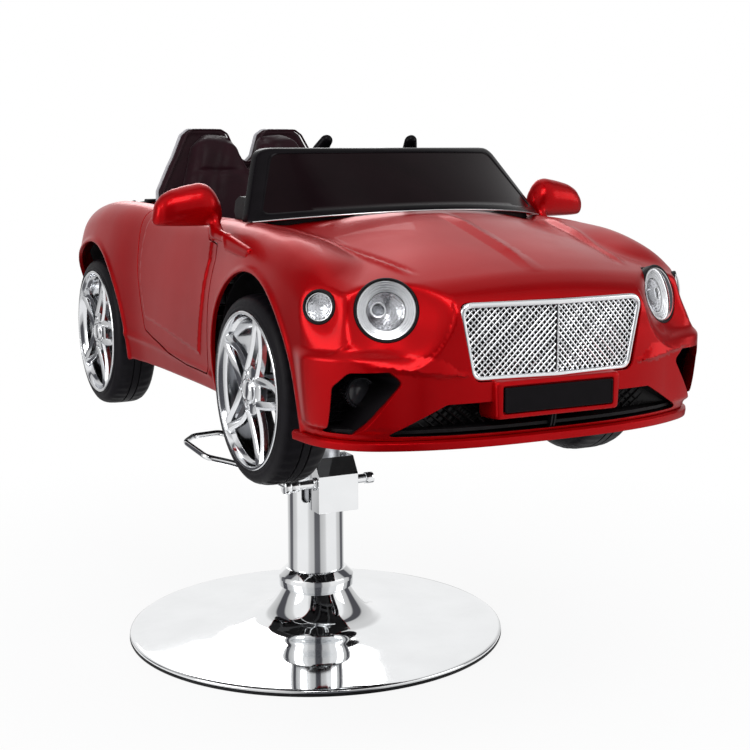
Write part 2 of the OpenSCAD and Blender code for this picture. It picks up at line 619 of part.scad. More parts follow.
// Cockpit opening: it runs forward under the windscreen, whose foot is bowed
screen_foot_y = body_y(0.238);
screen_bow = 110;
screen_foot_half = half_w * 0.824;
cockpit_back = body_y(0.862);
cockpit_lip = 14;
rim_round = 60;
bow_steps = 8;
function foot_y(x) = screen_foot_y + screen_bow * pow(x / screen_foot_half, 2);
function cockpit_outline(inset) = let (w = cockpit_half_w - inset, r = rim_round - inset,
  yb = cockpit_back - inset)
  concat(
    [for (k = [-bow_steps:bow_steps]) let (x = w * k / bow_steps) [x, foot_y(x) + cockpit_lip + inset]],
    [for (a = [0:15:90]) [w - r + r * cos(a), yb - r + r * sin(a)]],
    [for (a = [90:15:180]) [-w + r + r * cos(a), yb - r + r * sin(a)]]
  );
tub_top = body_z(0.85);
tub_front = body_y(0.345);
door_shares = [[0.399, 0.083], [0.389, 0.292], [0.376, 0.569], [0.371, 0.72], [0.379, 0.794], [0.406, 0.814],
  [0.4235, 0.866], [0.4365, 1.1], [0.671, 1.1], [0.669, 0.889], [0.652, 0.692], [0.637, 0.455], [0.626,
    0.213], [0.597, 0.174], [0.539, 0.119], [0.476, 0.087]];
door_top = tub_top - seat_gap * 4;
door_inset = 12;

intake_shares = [[0.93, 0.26], [0.874, 0.316], [0.676, 0.296], [0.629, 0.245], [0.82, 0.04], [0.935, 0.05]];
lower_shares = [[0.737, 0.04], [0.54, 0.185], [0.335, 0.2], [0.335, 0.025]];
intake_run = 150;
intake_back = nose_y + intake_run;
plate_z = body_z(0.172);
block_depth = 22;
block_edge = 7;
block_w = plate_w + 3 * block_edge;
block_h = plate_h + 2 * block_edge;
grille_z = body_z(0.613);
grille_low = grille_z - grille_h;
grille_cut = 40;
// Lamp places on each side and the directions they look in
headlamp_back = 62;
headlamp_at = [half_w * 0.69, nose_y + headlamp_back, body_z(0.577)];
headlamp_turn = 24;
headlamp_lift = 14;
marker_back = 106;
marker_at = [half_w * 0.915, nose_y + marker_back, body_z(0.589)];
marker_turn = 47;
marker_lift = 8;
tail_in = 22;
tail_at = [half_w * 0.66, nose_y + body_len - tail_in, body_z(0.62)];
tail_turn = 158;
tail_w = 92;
tail_h = 44;
module looking(at, turn, lift) translate(at) rotate([90 - lift, 0, turn]) children();
module at_headlamps() both_sides() looking(headlamp_at, headlamp_turn, headlamp_lift) children();
module at_markers() both_sides() looking(marker_at, marker_turn, marker_lift) children();
module at_tail_lamps() both_sides() looking(tail_at, tail_turn, 0) children();

module body_shell() color(paint) difference() {
  skin_dome(0, 0);
  skin_dome(shell_t, over);
  for (y = arch_ys) both_sides()
    translate([well_x, y, arch_z]) to_x() cylinder(r = arch_r, h = half_w);
  up(waist_z) linear_extrude(body_h) polygon(cockpit_outline(0));
  both_sides() along_x(cockpit_half_w - over, half_w * 1.2) polygon(side_outline(door_shares));
  both_sides() along_y(nose_y - over, intake_back) polygon(face_outline(intake_shares));
  both_sides() along_y(nose_y - over, intake_back) polygon(face_outline(lower_shares));
  along_y(nose_y - over, nose_y + grille_cut) polygon([
    [-grille_low_half, grille_low], [grille_low_half, grille_low],
    [grille_top_half, grille_z], [-grille_top_half, grille_z]]);
  translate([-block_w / 2 - seat_gap, nose_y - over, plate_z - block_h / 2 - seat_gap])
    cube([block_w + 2 * seat_gap, block_depth * 2, block_h + 2 * seat_gap]);
  at_headlamps() cylinder(d = headlamp_d + 2 * seat_gap, h = headlamp_d, center = true);
  at_markers() cylinder(d = marker_d + 2 * seat_gap, h = marker_d * 1.4, center = true);
  at_tail_lamps() linear_extrude(tail_h * 1.6, center = true)
    round_rect(tail_w + 2 * seat_gap, tail_h + 2 * seat_gap, tail_h / 2.2);
}

// Black wheel-arch liners
module arch_liners() color(black) intersection() {
  for (y = arch_ys) both_sides()
    translate([well_x - liner_t, y, arch_z]) to_x() difference() {
      cylinder(r = arch_r + liner_gap + liner_t, h = liner_w);
      up(liner_t) cylinder(r = arch_r + liner_gap, h = half_w);
      translate([arch_z - axle_z, arch_shift, -over]) cylinder(r = ear_high - axle_z + liner_hole,
        h = half_w);
    }
  up(pan_z) linear_extrude(body_h) polygon(pan_outline);
}

// Black cockpit tub: the floor, the walls and the sills under the doors
tub_low = pan_z + pan_t;
step_z = body_z(0.33);
module tub_plan(inset) intersection() {
  polygon(cockpit_outline(inset - tub_t));
  translate([-half_w, tub_front + inset]) square([2 * half_w, cockpit_back - tub_front - inset - seat_gap]);
}
module cockpit_tub() color(black) difference() {
  union() {
    difference() {
      up(tub_low) linear_extrude(tub_top - tub_low) tub_plan(0);
      up(tub_low + tub_t) linear_extrude(body_h) tub_plan(tub_t);
    }
    // Ears that carry the pedal's shaft
    for (e = [-1, 1]) translate([pedal_x + e * (pedal_w + ear_t + 2 * seat_gap) / 2, pedal_y, 0]) {
      translate([-ear_t / 2, -bolt_d, tub_low]) cube([ear_t, 2 * bolt_d, pedal_z - tub_low]);
      up(pedal_z) to_x() cylinder(r = bolt_d, h = ear_t, center = true);
    }
  }
  translate([pedal_x, pedal_y, pedal_z]) to_x()
    cylinder(d = bolt_d + run_d, h = pedal_w * 2, center = true);
  both_sides() along_x(cockpit_half_w - tub_t - over, half_w) intersection() {
    polygon(side_outline(door_shares));
    translate([nose_y, step_z]) square([body_len, body_h]);
  }
  for (y = arch_ys) wheel_well(y, arch_r + liner_gap + liner_t + seat_gap);
  translate([-steer_d, tub_front - over, axle_z]) cube([steer_d * 2, tub_t + over_d, body_h]);
  translate([-cockpit_half_w, tub_front - over, dash_low - seat_gap]) cube([2 * cockpit_half_w,
    tub_t + over_d, body_h]);
  both_sides() translate([cross_half - frame_h / 2, rear_y - ear_w / 2 - seat_gap, tub_low - over])
    cube([frame_h, ear_w + 2 * seat_gap, tub_t + over_d]);
}

// Dashboard: a profile in Y and Z, cut to the cockpit's outline
dash_back = body_y(0.425);
dash_low = body_z(0.74);
dash_shares = [[0.24, 0.93], [0.33, 0.985], [0.385, 1.03], [0.412, 1.035], [0.425, 1.01], [0.43, 0.95],
  [0.42, 0.88], [0.4, 0.76], [0.34, 0.74], [0.24, 0.85]];
dash_cavity_shares = [[0.2, 0.7], [0.2, 0.89], [0.33, 0.965], [0.385, 1.01], [0.41, 1.01], [0.421, 0.95],
  [0.411, 0.885], [0.393, 0.78], [0.385, 0.7]];
module dashboard() color(black) difference() {
  intersection() {
    along_x(-half_w, half_w) polygon(side_outline(dash_shares));
    up(waist_z) linear_extrude(body_h) polygon(cockpit_outline(tub_t + seat_gap * 2));
  }
  intersection() {
    along_x(-half_w, half_w) polygon(side_outline(dash_cavity_shares));
    up(waist_z) linear_extrude(body_h) polygon(cockpit_outline(tub_t + shell_t));
  }
  on_shaft() cylinder(d = steer_d + run_d, h = steer_len * 1.2);
  // It ends behind the windscreen
  screen_slab(-1.1, 1.1, -0.3, 0.7, -screen_bow, screen_bow + frame_depth + 2 * pan_gap, screen_cols);
  for (s = [-1, 1]) screen_slab(min(s, s - s * frame_s) - 0.02, max(s, s - s * frame_s) + 0.02, -0.3, 0.7,
    -pan_gap, post_depth + 2 * pan_gap, 1);
  // Recesses behind the instrument panel
  for (x = [-1, 1]) translate([x * cockpit_half_w * 0.62, dash_back + over, body_z(0.935)]) to_y()
    cylinder(d = marker_d, h = liner_t * 2);
}

// Windscreen: a bowed pane in a black frame
screen_foot_z = body_z(0.972);
screen_drop = 16;
screen_top_half = half_w * 0.658;
screen_top_y = body_y(0.339);
screen_top_bow = 63;
screen_cols = 12;
frame_depth = 7;
post_depth = 17;
// Point of the screen at share s across its half width and share t up its height
function screen_point(s, t, back) =
  let (foot = [screen_foot_half * s, screen_foot_y + screen_bow * s * s, screen_foot_z - screen_drop * s * s],
    top = [screen_top_half * s, screen_top_y + screen_top_bow * s * s, screen_top_z])
  foot + (top - foot) * t + [0, back, 0];
frame_s = screen_frame_w / screen_top_half;
frame_t = screen_frame_w / norm([screen_top_z - screen_foot_z, screen_top_y - screen_foot_y]);
module screen_slab(s0, s1, t0, t1, back, t, n) {
  function at(k, j) = k * 4 + j;
  pts = [for (k = [0:n]) let (s = s0 + (s1 - s0) * k / n)
    each [screen_point(s, t0, back), screen_point(s, t1, back),
      screen_point(s, t1, back + t), screen_point(s, t0, back + t)]];
  polyhedron(pts, concat([[3, 2, 1, 0], [at(n, 0), at(n, 1), at(n, 2), at(n, 3)]],
    [for (k = [0:n - 1]) for (j = [0:3]) let (i = (j + 1) % 4)
      each [[at(k, j), at(k, i), at(k + 1, i)], [at(k, j), at(k + 1, i), at(k + 1, j)]]]), convexity = 4);
}
module windscreen_frame() color(black) {
  screen_slab(-1, 1, 0, frame_t, 0, frame_depth, screen_cols);
  screen_slab(-1, 1, 1 - frame_t, 1, 0, frame_depth, screen_cols);
  for (s = [-1, 1]) screen_slab(min(s, s - s * frame_s), max(s, s - s * frame_s), frame_t / 2,
    1 - frame_t / 2, 0, post_depth, 1);
}
module windscreen_pane() color("#201a1e") screen_slab(-1 + frame_s * 1.02, 1 - frame_s * 1.02,
  frame_t * 1.02, 1 - frame_t * 1.02, frame_depth / 4, pane_t, screen_cols);

// Seat: a grey moulded shell, and a soft cushion and back pad
seat_front_y = body_y(0.585);
seat_pan_z = body_z(0.33);
seat_low_y = body_y(0.765);
seat_lean = 12;
seat_depth = seat_low_y - seat_front_y;
back_shell_t = 5;
back_low = tub_low + tub_t + seat_gap;
base_half = well_x - liner_t - liner_gap - seat_gap * 5;
base_share = base_half / seat_half_w;
back_shares = [[0, 0], [base_share, 0], [base_share, 0.5], [0.96, 0.54], [0.93, 0.7], [0.8, 0.82], [0.75,
  0.86], [0.64, 0.97], [0.56, 1], [0.24, 1], [0.16, 0.975], [0.08, 0.87], [0, 0.835]];
function back_outline(w, h) = concat([for (s = back_shares) [w * s[0], h * s[1]]],
  [for (k = [len(back_shares) - 1:-1:0]) if (back_shares[k][0] > 0) [-w * back_shares[k][0],
    h * back_shares[k][1]]]);
back_h = (seat_top_z - back_low) / cos(seat_lean);
module leaning(back) translate([0, seat_low_y + back, back_low]) rotate([90 - seat_lean, 0, 0]) children();
module seat_shell() color(grey) intersection() {
  union() {
    leaning(back_shell_t + back_pad_t * 0.35) linear_extrude(back_shell_t) polygon(back_outline(seat_half_w, back_h));
    translate([-base_half, seat_front_y, seat_pan_z]) cube([2 * base_half, seat_depth + back_pad_t,
      back_shell_t]);
    translate([-base_half, seat_front_y, back_low]) cube([2 * base_half, back_shell_t,
      seat_pan_z - back_low]);
    for (x = [-1, 1]) translate([x * (base_half - back_shell_t / 2) - back_shell_t / 2, seat_front_y,
      back_low])
      cube([back_shell_t, seat_depth, seat_pan_z - back_low + back_shell_t]);
  }
  translate([-half_w, nose_y, back_low]) cube([2 * half_w, body_len, body_h * 2]);
}

// Crowned pad: rows across its width, with drawn-in sides and sewn channels
pad_cols = 22;
pad_rows = 16;
channel_depth = 5;
edge_round = 0.14;
function swell(s) = let (e = clamp01((1 - abs(s)) / edge_round)) sqrt(1 - pow(1 - e, 2));
function channel(s, places) = max([for (p = places) exp(-pow((s - p) / 0.05, 2))]);
// Pad over a flat underside, from a grid of points on its upper face
module soft_net(face, n, m) {
  k = len(face);
  function at(i, j) = i * (m + 1) + j;
  ring = concat([for (i = [0:n - 1]) at(i, 0)], [for (j = [0:m - 1]) at(n, j)],
    [for (i = [n:-1:1]) at(i, m)], [for (j = [m:-1:1]) at(0, j)]);
  polyhedron(concat(face, [for (p = face) [p[0], p[1], 0]]), concat(
    [for (i = [0:n - 1]) for (j = [0:m - 1]) each [
      [at(i, j), at(i, j + 1), at(i + 1, j + 1)], [at(i, j), at(i + 1, j + 1), at(i + 1, j)],
      [k + at(i, j), k + at(i + 1, j + 1), k + at(i, j + 1)],
      [k + at(i, j), k + at(i + 1, j), k + at(i + 1, j + 1)]]],
    [for (q = [0:len(ring) - 1]) let (a = ring[q], b = ring[(q + 1) % len(ring)])
      each [[a, b, k + b], [a, k + b, k + a]]]), convexity = 4);
}
pad_clear = 4;
cushion_crown = 6;
cushion_l = seat_depth - back_pad_t - pad_clear;
module seat_cushion() color(leather) translate([0, seat_front_y + pad_clear / 2,
  seat_pan_z + back_shell_t + seat_gap])
  soft_net([for (i = [0:pad_cols]) for (j = [0:pad_rows])
    let (u = 2 * i / pad_cols - 1, v = 2 * j / pad_rows - 1, full = swell(u) * swell(v))
    [(base_half - pad_clear - cushion_crown * (1 - full)) * u, cushion_l * j / pad_rows,
      cushion_t * (0.42 + 0.58 * full) + cushion_crown * (1 - u * u) * (1 - v * v)
      - channel_depth * channel(u, [-0.34, 0, 0.34]) * full]], pad_cols, pad_rows);
// The back pad follows the shell's two headrests
pad_low = cushion_t / 2 + seat_pan_z - back_low;
pad_h = back_h - pad_clear;
edge_share = [[0, base_share], [0.55, base_share], [0.63, 0.945], [0.7, 0.93], [0.82, 0.8], [0.86, 0.75],
  [0.97, 0.64], [1, 0.5]];
crest_share = [[0, 0.835], [0.08, 0.87], [0.16, 0.975], [0.24, 1], [0.56, 1], [0.64, 0.97], [0.75, 0.86],
  [1, 0.8]];
module seat_back_pad() color(leather) leaning(back_pad_t * 0.35 - seat_gap)
  soft_net([for (i = [0:pad_cols]) for (j = [0:pad_rows])
    let (u = 2 * i / pad_cols - 1, v = j / pad_rows, full = swell(u) * swell(2 * v - 1),
      x = u * (seat_half_w * lookup(pad_low / back_h + (1 - pad_low / back_h) * v, edge_share) - pad_clear),
      crest = pad_h * lookup(abs(x) / seat_half_w, crest_share))
    [x, pad_low + (crest - pad_low) * v, back_pad_t * (0.3 + 0.7 * full)
      - channel_depth * channel(u, [-0.45, 0, 0.45]) * full]], pad_cols, pad_rows);

// Grille: two lattice halves that meet at a divider with a slight V
grille_fall = 11;
grille_turn = atan(grille_fall / grille_top_half);
mesh_t = 4;
divider_w = 5;
grille_y = front_at(0, grille_z) - 1;
module grille_half() translate([0, grille_y, 0]) rotate([90, 0, grille_turn]) children();
module grille_plan(inset, x0) polygon([
  [x0, grille_low + inset], [grille_low_half - inset, grille_low + inset],
  [grille_top_half - inset, grille_z - inset], [x0, grille_z - inset]]);
// Lattice of crossed bars: the half's plan less its diamond windows
lattice_half = lattice_pitch / sqrt(2);
window_half = lattice_half - lattice_bar / sqrt(2);
lattice_cols = floor((grille_top_half - grille_rim) / lattice_half);
lattice_rows = floor(grille_h / lattice_half);
lattice_windows = [for (i = [1:lattice_cols]) for (j = [1:lattice_rows]) if ((i + j) % 2 == 0)
  let (x = divider_w / 2 + lattice_half * (i - 0.5), z = grille_low + lattice_half * (j + 0.25),
    edge = grille_low_half + (grille_top_half - grille_low_half) * (z - grille_low) / grille_h)
  if (x + window_half < edge - grille_rim && z - window_half > grille_low + grille_rim
    && z + window_half < grille_z - grille_rim) [x, z]];
module lattice() {
  rim = [[0, grille_low + grille_rim], [grille_low_half - grille_rim, grille_low + grille_rim],
    [grille_top_half - grille_rim, grille_z - grille_rim], [0, grille_z - grille_rim]];
  points = concat(rim, [for (c = lattice_windows) each
    [[c[0] - window_half, c[1]], [c[0], c[1] + window_half], [c[0] + window_half, c[1]], [c[0],
      c[1] - window_half]]]);
  polygon(points, concat([[0, 1, 2, 3]], [for (k = [0:len(lattice_windows) - 1]) [for (q = [0:3]) 4 + 4 * k + q]]));
}
module grille_mesh() color(chrome) {
  both_sides() grille_half() up(-mesh_t) linear_extrude(mesh_t) difference() {
    lattice();
    translate([-over, grille_low]) square([over + divider_w * 0.6, grille_h]);
  }
}
module grille_frame() color(chrome) {
  both_sides() grille_half() up(-mesh_t * 2) linear_extrude(mesh_t * 2.5) difference() {
    grille_plan(seat_gap, -seat_gap);
    grille_plan(grille_rim, -over);
  }
  translate([-divider_w / 2, grille_y - mesh_t * 0.7, grille_low + grille_rim])
    cube([divider_w, mesh_t * 2.2, grille_h - 2 * grille_rim]);
}
module grille_backing() color(black)
  both_sides() grille_half() up(-mesh_t * 2 - shell_t) linear_extrude(shell_t) grille_plan(seat_gap,
    seat_gap);

// Lamps: black bucket, chrome ring and domed lens
bucket_depth = 30;
module lamp_bucket(d, depth) difference() {
  up(-depth) cylinder(d = d, h = depth);
  up(-depth + shell_t) cylinder(d1 = d * 0.7, d2 = d * 0.8, h = depth - shell_t + run_gap);
}
module lamp_ring(d) rotate_extrude() polygon([[d * 0.4, 0], [d / 2, 0], [d / 2, d * 0.03], [d * 0.47,
  d * 0.07], [d * 0.42, d * 0.07], [d * 0.4, d * 0.04]]);
module lamp_glass(d) let (r = d * 0.4 - run_d) rotate_extrude() polygon(concat([[0, run_gap], [r,
  run_gap]], [for (a = [0:15:90]) [r * cos(a), d * 0.02 + d * 0.07 * sin(a)]]));
module lamp_housings() color(black) {
  at_headlamps() lamp_bucket(headlamp_d, bucket_depth);
  at_markers() lamp_bucket(marker_d, bucket_depth / 2);
}
module lamp_bezels() color(chrome) {
  at_headlamps() {
    lamp_ring(headlamp_d);
    // Projector barrel on the inner side of the lamp
    translate([-headlamp_d * 0.17, 0, -bucket_depth + shell_t]) difference() {
      cylinder(d = headlamp_d * 0.34, h = bucket_depth - shell_t * 1.6);
      up(shell_t) cylinder(d = headlamp_d * 0.26, h = bucket_depth);
    }
  }
  at_markers() lamp_ring(marker_d);
}
module lamp_lenses() color("#e8eef2") {
  at_headlamps() lamp_glass(headlamp_d);
  at_markers() lamp_glass(marker_d);
}
module tail_lamps() color("#c01018") at_tail_lamps() {
  up(-shell_t * 3) linear_extrude(shell_t * 4) round_rect(tail_w, tail_h, tail_h / 2.2);
  linear_extrude(shell_t * 1.6) round_rect(tail_w - shell_t * 3, tail_h - shell_t * 3, tail_h / 3.2);
}

// Black inserts of the side intakes and the lower grille, with raised ribs
insert_t = 3;
rib_pitch = 12;
module ribbed(shares, face_y) {
  points = face_outline(shares);
  along_y(face_y, face_y + insert_t) polygon(points);
  along_y(face_y - insert_t, face_y + insert_t / 2) intersection() {
    polygon(points);
    for (k = [0:12]) translate([0, body_z(0) + rib_pitch * k]) square([half_w, insert_t]);
  }
}
intake_set = 118;
lower_set = 46;
intake_face = nose_y + intake_set;
lower_face = nose_y + lower_set;
module bumper_meshes() color(black) both_sides() difference() {
  union() {
    ribbed(intake_shares, intake_face);
    ribbed(lower_shares, lower_face);
  }
  translate([0, nose_y, 0]) cube([half_w, body_len, tub_low + seat_gap]);
}
fog_d = 36;
module fog_lamps() color(black) both_sides() translate([half_w * 0.79, intake_face - insert_t - seat_gap,
  body_z(0.2)])
  to_y() {
    cylinder(d = fog_d, h = shell_t * 2);
    up(shell_t * 2) cylinder(d1 = fog_d * 0.8, d2 = fog_d * 0.5, h = shell_t);
  }

// Red splitter along the nose's lower edge, with the plate's block
splitter_h = 12;
splitter_lap = 16;
splitter_lip = 5;
nose_low = sill_z - splitter_h + over;
function nose_edge(out) = [for (c = [-nose_cols:nose_cols]) let (p = skin_point(abs(c), 0,
  -out)) [sign(c + 0.5) * p[0], p[1]]];
module front_bumper() color(paint) {
  up(nose_low) linear_extrude(splitter_h - over - seat_gap)
    polygon(concat(nose_edge(splitter_lip), [for (k = [2 * nose_cols:-1:0]) nose_edge(-splitter_lap)[k]]));
  difference() {
    along_y(nose_y - shell_t, nose_y + block_depth) translate([0, plate_z]) round_rect(block_w, block_h,
      shell_t);
    along_y(nose_y - shell_t - over, nose_y - shell_t + plate_t) translate([0, plate_z])
      square([plate_w + run_d, plate_h + run_d], center = true);
  }
}
plate_t = 2;
module number_plate() color(black) along_y(nose_y - shell_t, nose_y - shell_t + plate_t)
  translate([0, plate_z]) round_rect(plate_w, plate_h, plate_t);

// Mirrors: a head on an arm that rises from the wing
mirror_in = half_w * 0.87;
mirror_out = half_w * 1.216;
mirror_y = body_y(0.383);
mirror_z = body_z(0.995);
mirror_shares = [[0, 0.12], [0.03, 0.45], [0.09, 0.72], [0.18, 0.92], [0.29, 1], [0.45, 0.97], [0.62, 0.9],
  [0.78, 0.8], [0.9, 0.63], [0.97, 0.4], [1, 0.12]];
mirror_half_h = 28;
mirror_half_d = 26;
mirror_sides = 20;
module mirror_head() {
  n = len(mirror_shares) - 1;
  function at(k, j) = k * mirror_sides + j % mirror_sides;
  pts = [for (k = [0:n]) for (j = [0:mirror_sides - 1]) let (s = mirror_shares[k], a = 360 * j / mirror_sides)
    [mirror_in + (mirror_out - mirror_in) * s[0],
      mirror_y + (cos(a) > 0 ? mirror_half_d * 0.22 : mirror_half_d) * s[1] * cos(a),
      mirror_z + mirror_half_h * (0.85 * s[1] - 0.8 + s[1] * sin(a))]];
  polyhedron(pts, concat([[for (j = [0:mirror_sides - 1]) j]],
    [[for (j = [mirror_sides - 1:-1:0]) at(n, j)]], [for (k = [0:n - 1]) for (j = [0:mirror_sides - 1]) each
      [[at(k, j), at(k + 1, j), at(k + 1, j + 1)], [at(k, j), at(k + 1, j + 1), at(k, j + 1)]]]),
        convexity = 4);
}
foot_back = body_y(0.37);
// Corners of the foot: shares of half width, length and height, and of its thickness
foot_shares = [[0.925, 0.357, 0.86, 1.2], [0.93, 0.2555, 0.805, 0.8], [0.935, 0.2555, 0.75, 0.8], [0.935,
  0.344, 0.8, 1]];
foot_t = 12;
arm_t = 15;
wing_cols = [11, 16];
wing_rows = [4, 9];
module mirror_housings() color(paint) both_sides() {
  difference() {
    mirror_head();
    translate([mirror_in + mirror_half_h * 0.6, mirror_y + over, mirror_z - mirror_half_h * 0.66])
      cube([(mirror_out - mirror_in) * 0.72, mirror_half_d, mirror_half_h * 1.32]);
  }
  hull() {
    translate([mirror_in + arm_t, mirror_y - arm_t * 0.6,
      mirror_z - mirror_half_h * 0.3]) sphere(d = arm_t, $fn = 16);
    translate([half_w * 0.925, foot_back - arm_t, body_z(0.86)]) sphere(d = arm_t, $fn = 16);
  }
  difference() {
    hull() for (p = foot_shares) translate([half_w * p[0], body_y(p[1]), body_z(p[2])])
      sphere(d = foot_t * p[3], $fn = 16);
    skin_patch(wing_cols[0], wing_cols[1], wing_rows[0], wing_rows[1], foot_t * 2);
  }
}
module mirror_glasses() color("#c9d2d8") both_sides()
  translate([mirror_in + mirror_half_h * 0.6 + seat_gap, mirror_y + over + seat_gap,
    mirror_z - mirror_half_h * 0.66 + seat_gap])
    cube([(mirror_out - mirror_in) * 0.72 - 2 * seat_gap, shell_t * 0.6,
      mirror_half_h * 1.32 - 2 * seat_gap]);

// Left door; the right one is mirrored
hinge_x = half_w * 0.905;
hinge_y = body_y(0.3605);
hinge_z = body_z(0.567);
hinge_d = 6;
knuckle_r = 5;
knuckle_h = 13;
door_c0 = nose_cols + floor((body_y(0.365) - spine_front) / (spine_back - spine_front) * side_cols);
door_c1 = nose_cols + ceil((body_y(0.675) - spine_front) / (spine_back - spine_front) * side_cols);
door_r1 = 11;
module door_plan(inset) offset(delta = -inset) polygon(side_outline(door_shares));
module door_skin() color(paint) {
  difference() {
    intersection() {
      skin_patch(door_c0, door_c1, 0, door_r1, shell_t);
      along_x(cockpit_half_w + seat_gap, half_w * 1.2) door_plan(door_gap);
    }
    translate([hinge_x, hinge_y, hinge_z]) cylinder(r = knuckle_r * 2, h = knuckle_h * 4, center = true);
  }
}
panel_x = cockpit_half_w - tub_t;
post_places = [[0.45, 0.4], [0.45, 0.68], [0.6, 0.4], [0.6, 0.68]];
module door_trim() color(black) {
  along_x(panel_x, panel_x + tub_t) intersection() {
    door_plan(door_inset);
    translate([nose_y, step_z + seat_gap]) square([body_len, door_top - step_z - seat_gap]);
  }
  // Arm rest, and the posts that the skin is screwed to
  translate([panel_x - ear_w * 0.7, body_y(0.46), body_z(0.62)]) cube([ear_w * 0.7, body_len * 0.13,
    tub_t * 4]);
  for (p = post_places) let (y = body_y(p[0]), z = body_z(p[1]))
    translate([panel_x + tub_t, y, z]) to_x()
      cylinder(d = bolt_d * 1.5, h = inner_x(y, z, shell_t) - panel_x - tub_t - shell_t / 2);
  // Hinge arm, cranked round the edge of the wing
  difference() {
    up(hinge_z - knuckle_h / 2 + run_gap * 2) linear_extrude(knuckle_h - 4 * run_gap) {
      translate([hinge_x, hinge_y]) circle(r = knuckle_r);
      translate([elbow_x, hinge_y - arm_w / 2]) square([hinge_x - elbow_x, arm_w]);
      polygon([[elbow_x - arm_w / 2, hinge_y - arm_w / 2], [elbow_x + arm_w / 2, hinge_y - arm_w / 2],
        [panel_x + tub_t + arm_w, arm_end_y], [panel_x + tub_t / 2, arm_end_y],
        [panel_x + tub_t / 2, arm_end_y - arm_w * 2]]);
    }
    translate([hinge_x, hinge_y, hinge_z]) cylinder(d = hinge_d + run_d, h = knuckle_h * 2, center = true);
  }
}
elbow_in = 28;
elbow_x = hinge_x - elbow_in;
arm_w = 8;
arm_end_y = body_y(0.43);
module door_skin_left() door_skin();
module door_skin_right() mirror([1, 0, 0]) door_skin();
module door_trim_left() door_trim();
module door_trim_right() mirror([1, 0, 0]) door_trim();
// Hinge pin with its two knuckles and the flanges that reach the wing's wall
module door_hinges() color(steel) both_sides() {
  translate([hinge_x, hinge_y, hinge_z]) cylinder(d = hinge_d, h = knuckle_h * 3, center = true);
  for (e = [-1, 1]) translate([0, hinge_y, hinge_z + e * knuckle_h]) {
    translate([hinge_x, 0, 0]) cylinder(r = knuckle_r, h = knuckle_h, center = true);
    translate([hinge_x, -knuckle_r * 1.8, -knuckle_h / 2])
      cube([inner_x(hinge_y - knuckle_r, hinge_z + e * knuckle_h, shell_t) - hinge_x - run_d,
        knuckle_r * 1.5, knuckle_h]);
  }
}

// Steering: the shaft leans forward to a crank in the tie rod's fork
yoke_at = [0, body_y(0.465), body_z(1.15)];
steer_set = 24.025;
steer_low = [0, front_y - steer_set, body_z(0.217)];
steer_axis = (yoke_at - steer_low) / norm(yoke_at - steer_low);
steer_len = norm(yoke_at - steer_low);
steer_tilt = atan2(yoke_at[1] - steer_low[1], yoke_at[2] - steer_low[2]);
post_up = 110;
post_w = 20;
post_y = steer_low[1] + steer_axis[1] * post_up;
post_z = steer_low[2] + steer_axis[2] * post_up;
crank_r = 11.3;
crank_t = 8;
pin_d = 8;
module on_shaft() translate(steer_low) rotate([-steer_tilt, 0, 0]) rotate([0, 0, 180]) children();
module steering_shaft() color(steel) on_shaft() {
  cylinder(d = steer_d, h = steer_len - yoke_t);
  translate([0, -crank_r / 2, crank_t / 2]) cube([steer_d, crank_r + steer_d, crank_t], center = true);
  translate([0, -crank_r, -pin_l]) cylinder(d = pin_d, h = pin_l + crank_t / 2);
}
yoke_t = 22;
pin_l = 28;
grip_d = 24;
grip_r = grip_span / 2;
yoke_shares = [[-0.9, 0.95], [-0.98, 0.62], [-1.02, 0.2], [-0.98, -0.3], [-0.75, -0.62], [-0.28, -0.72],
  [0.28, -0.72], [0.75, -0.62], [0.98, -0.3], [1.02, 0.2], [0.98, 0.62], [0.9, 0.95]];
grip_shares = [0.8, 1, 1, 0.95, 0.75, 0.6, 0.6, 0.75, 0.95, 1, 1, 0.8];
yoke_path = [for (s = yoke_shares) [grip_r * s[0], grip_r * s[1], 0]];
module steering_yoke() color(black) on_shaft() up(steer_len - yoke_t / 2) {
  difference() {
    union() {
      cylinder(r = grip_r * 0.42, h = yoke_t, center = true);
      translate([-grip_r, -grip_d * 0.4, -spoke_h / 2]) cube([grip_span, grip_d * 0.8, spoke_h]);
      translate([-grip_d * 0.5, -grip_r * 0.7, -spoke_h / 2]) cube([grip_d, grip_r * 0.7, spoke_h]);
    }
    up(-yoke_t) cylinder(d = steer_d + run_d, h = yoke_t * 0.5 + over);
    up(yoke_t / 2 - button_seat) cylinder(d = button_d + 2 * seat_gap, h = yoke_t);
  }
  sweep(yoke_path, grip_d * grip_shares, 14);
}
spoke_h = 10;
button_d = 34;
button_seat = 8;
button_travel = 3;
module horn_button() color(grey) on_shaft() up(steer_len - button_seat + button_travel + seat_gap) {
  cylinder(d = button_d, h = button_seat);
  up(button_seat) cylinder(d1 = button_d, d2 = button_d * 0.7, h = button_travel);
}

// Accelerator pedal, hinged on the dashboard's foot wall
pedal_x = 70;
pedal_w = 50;
pedal_h = 78;
pedal_rise = 16;
pedal_back = 62;
pedal_z = pan_z + pan_t + pedal_rise;
pedal_y = tub_front + pedal_back;
pedal_tilt = 24;
module accelerator_pedal() color(black) translate([pedal_x, pedal_y, pedal_z]) rotate([pedal_tilt, 0, 0]) {
  translate([-pedal_w / 2, 0, 0]) cube([pedal_w, ear_t, pedal_h]);
  for (k = [1:5]) translate([-pedal_w / 2 + ear_t, ear_t, pedal_h * k / 6]) cube([pedal_w - 2 * ear_t,
    tub_t / 2, tub_t]);
  to_x() cylinder(d = bolt_d, h = pedal_w + 2 * ear_t + 2 * seat_gap, center = true);
}

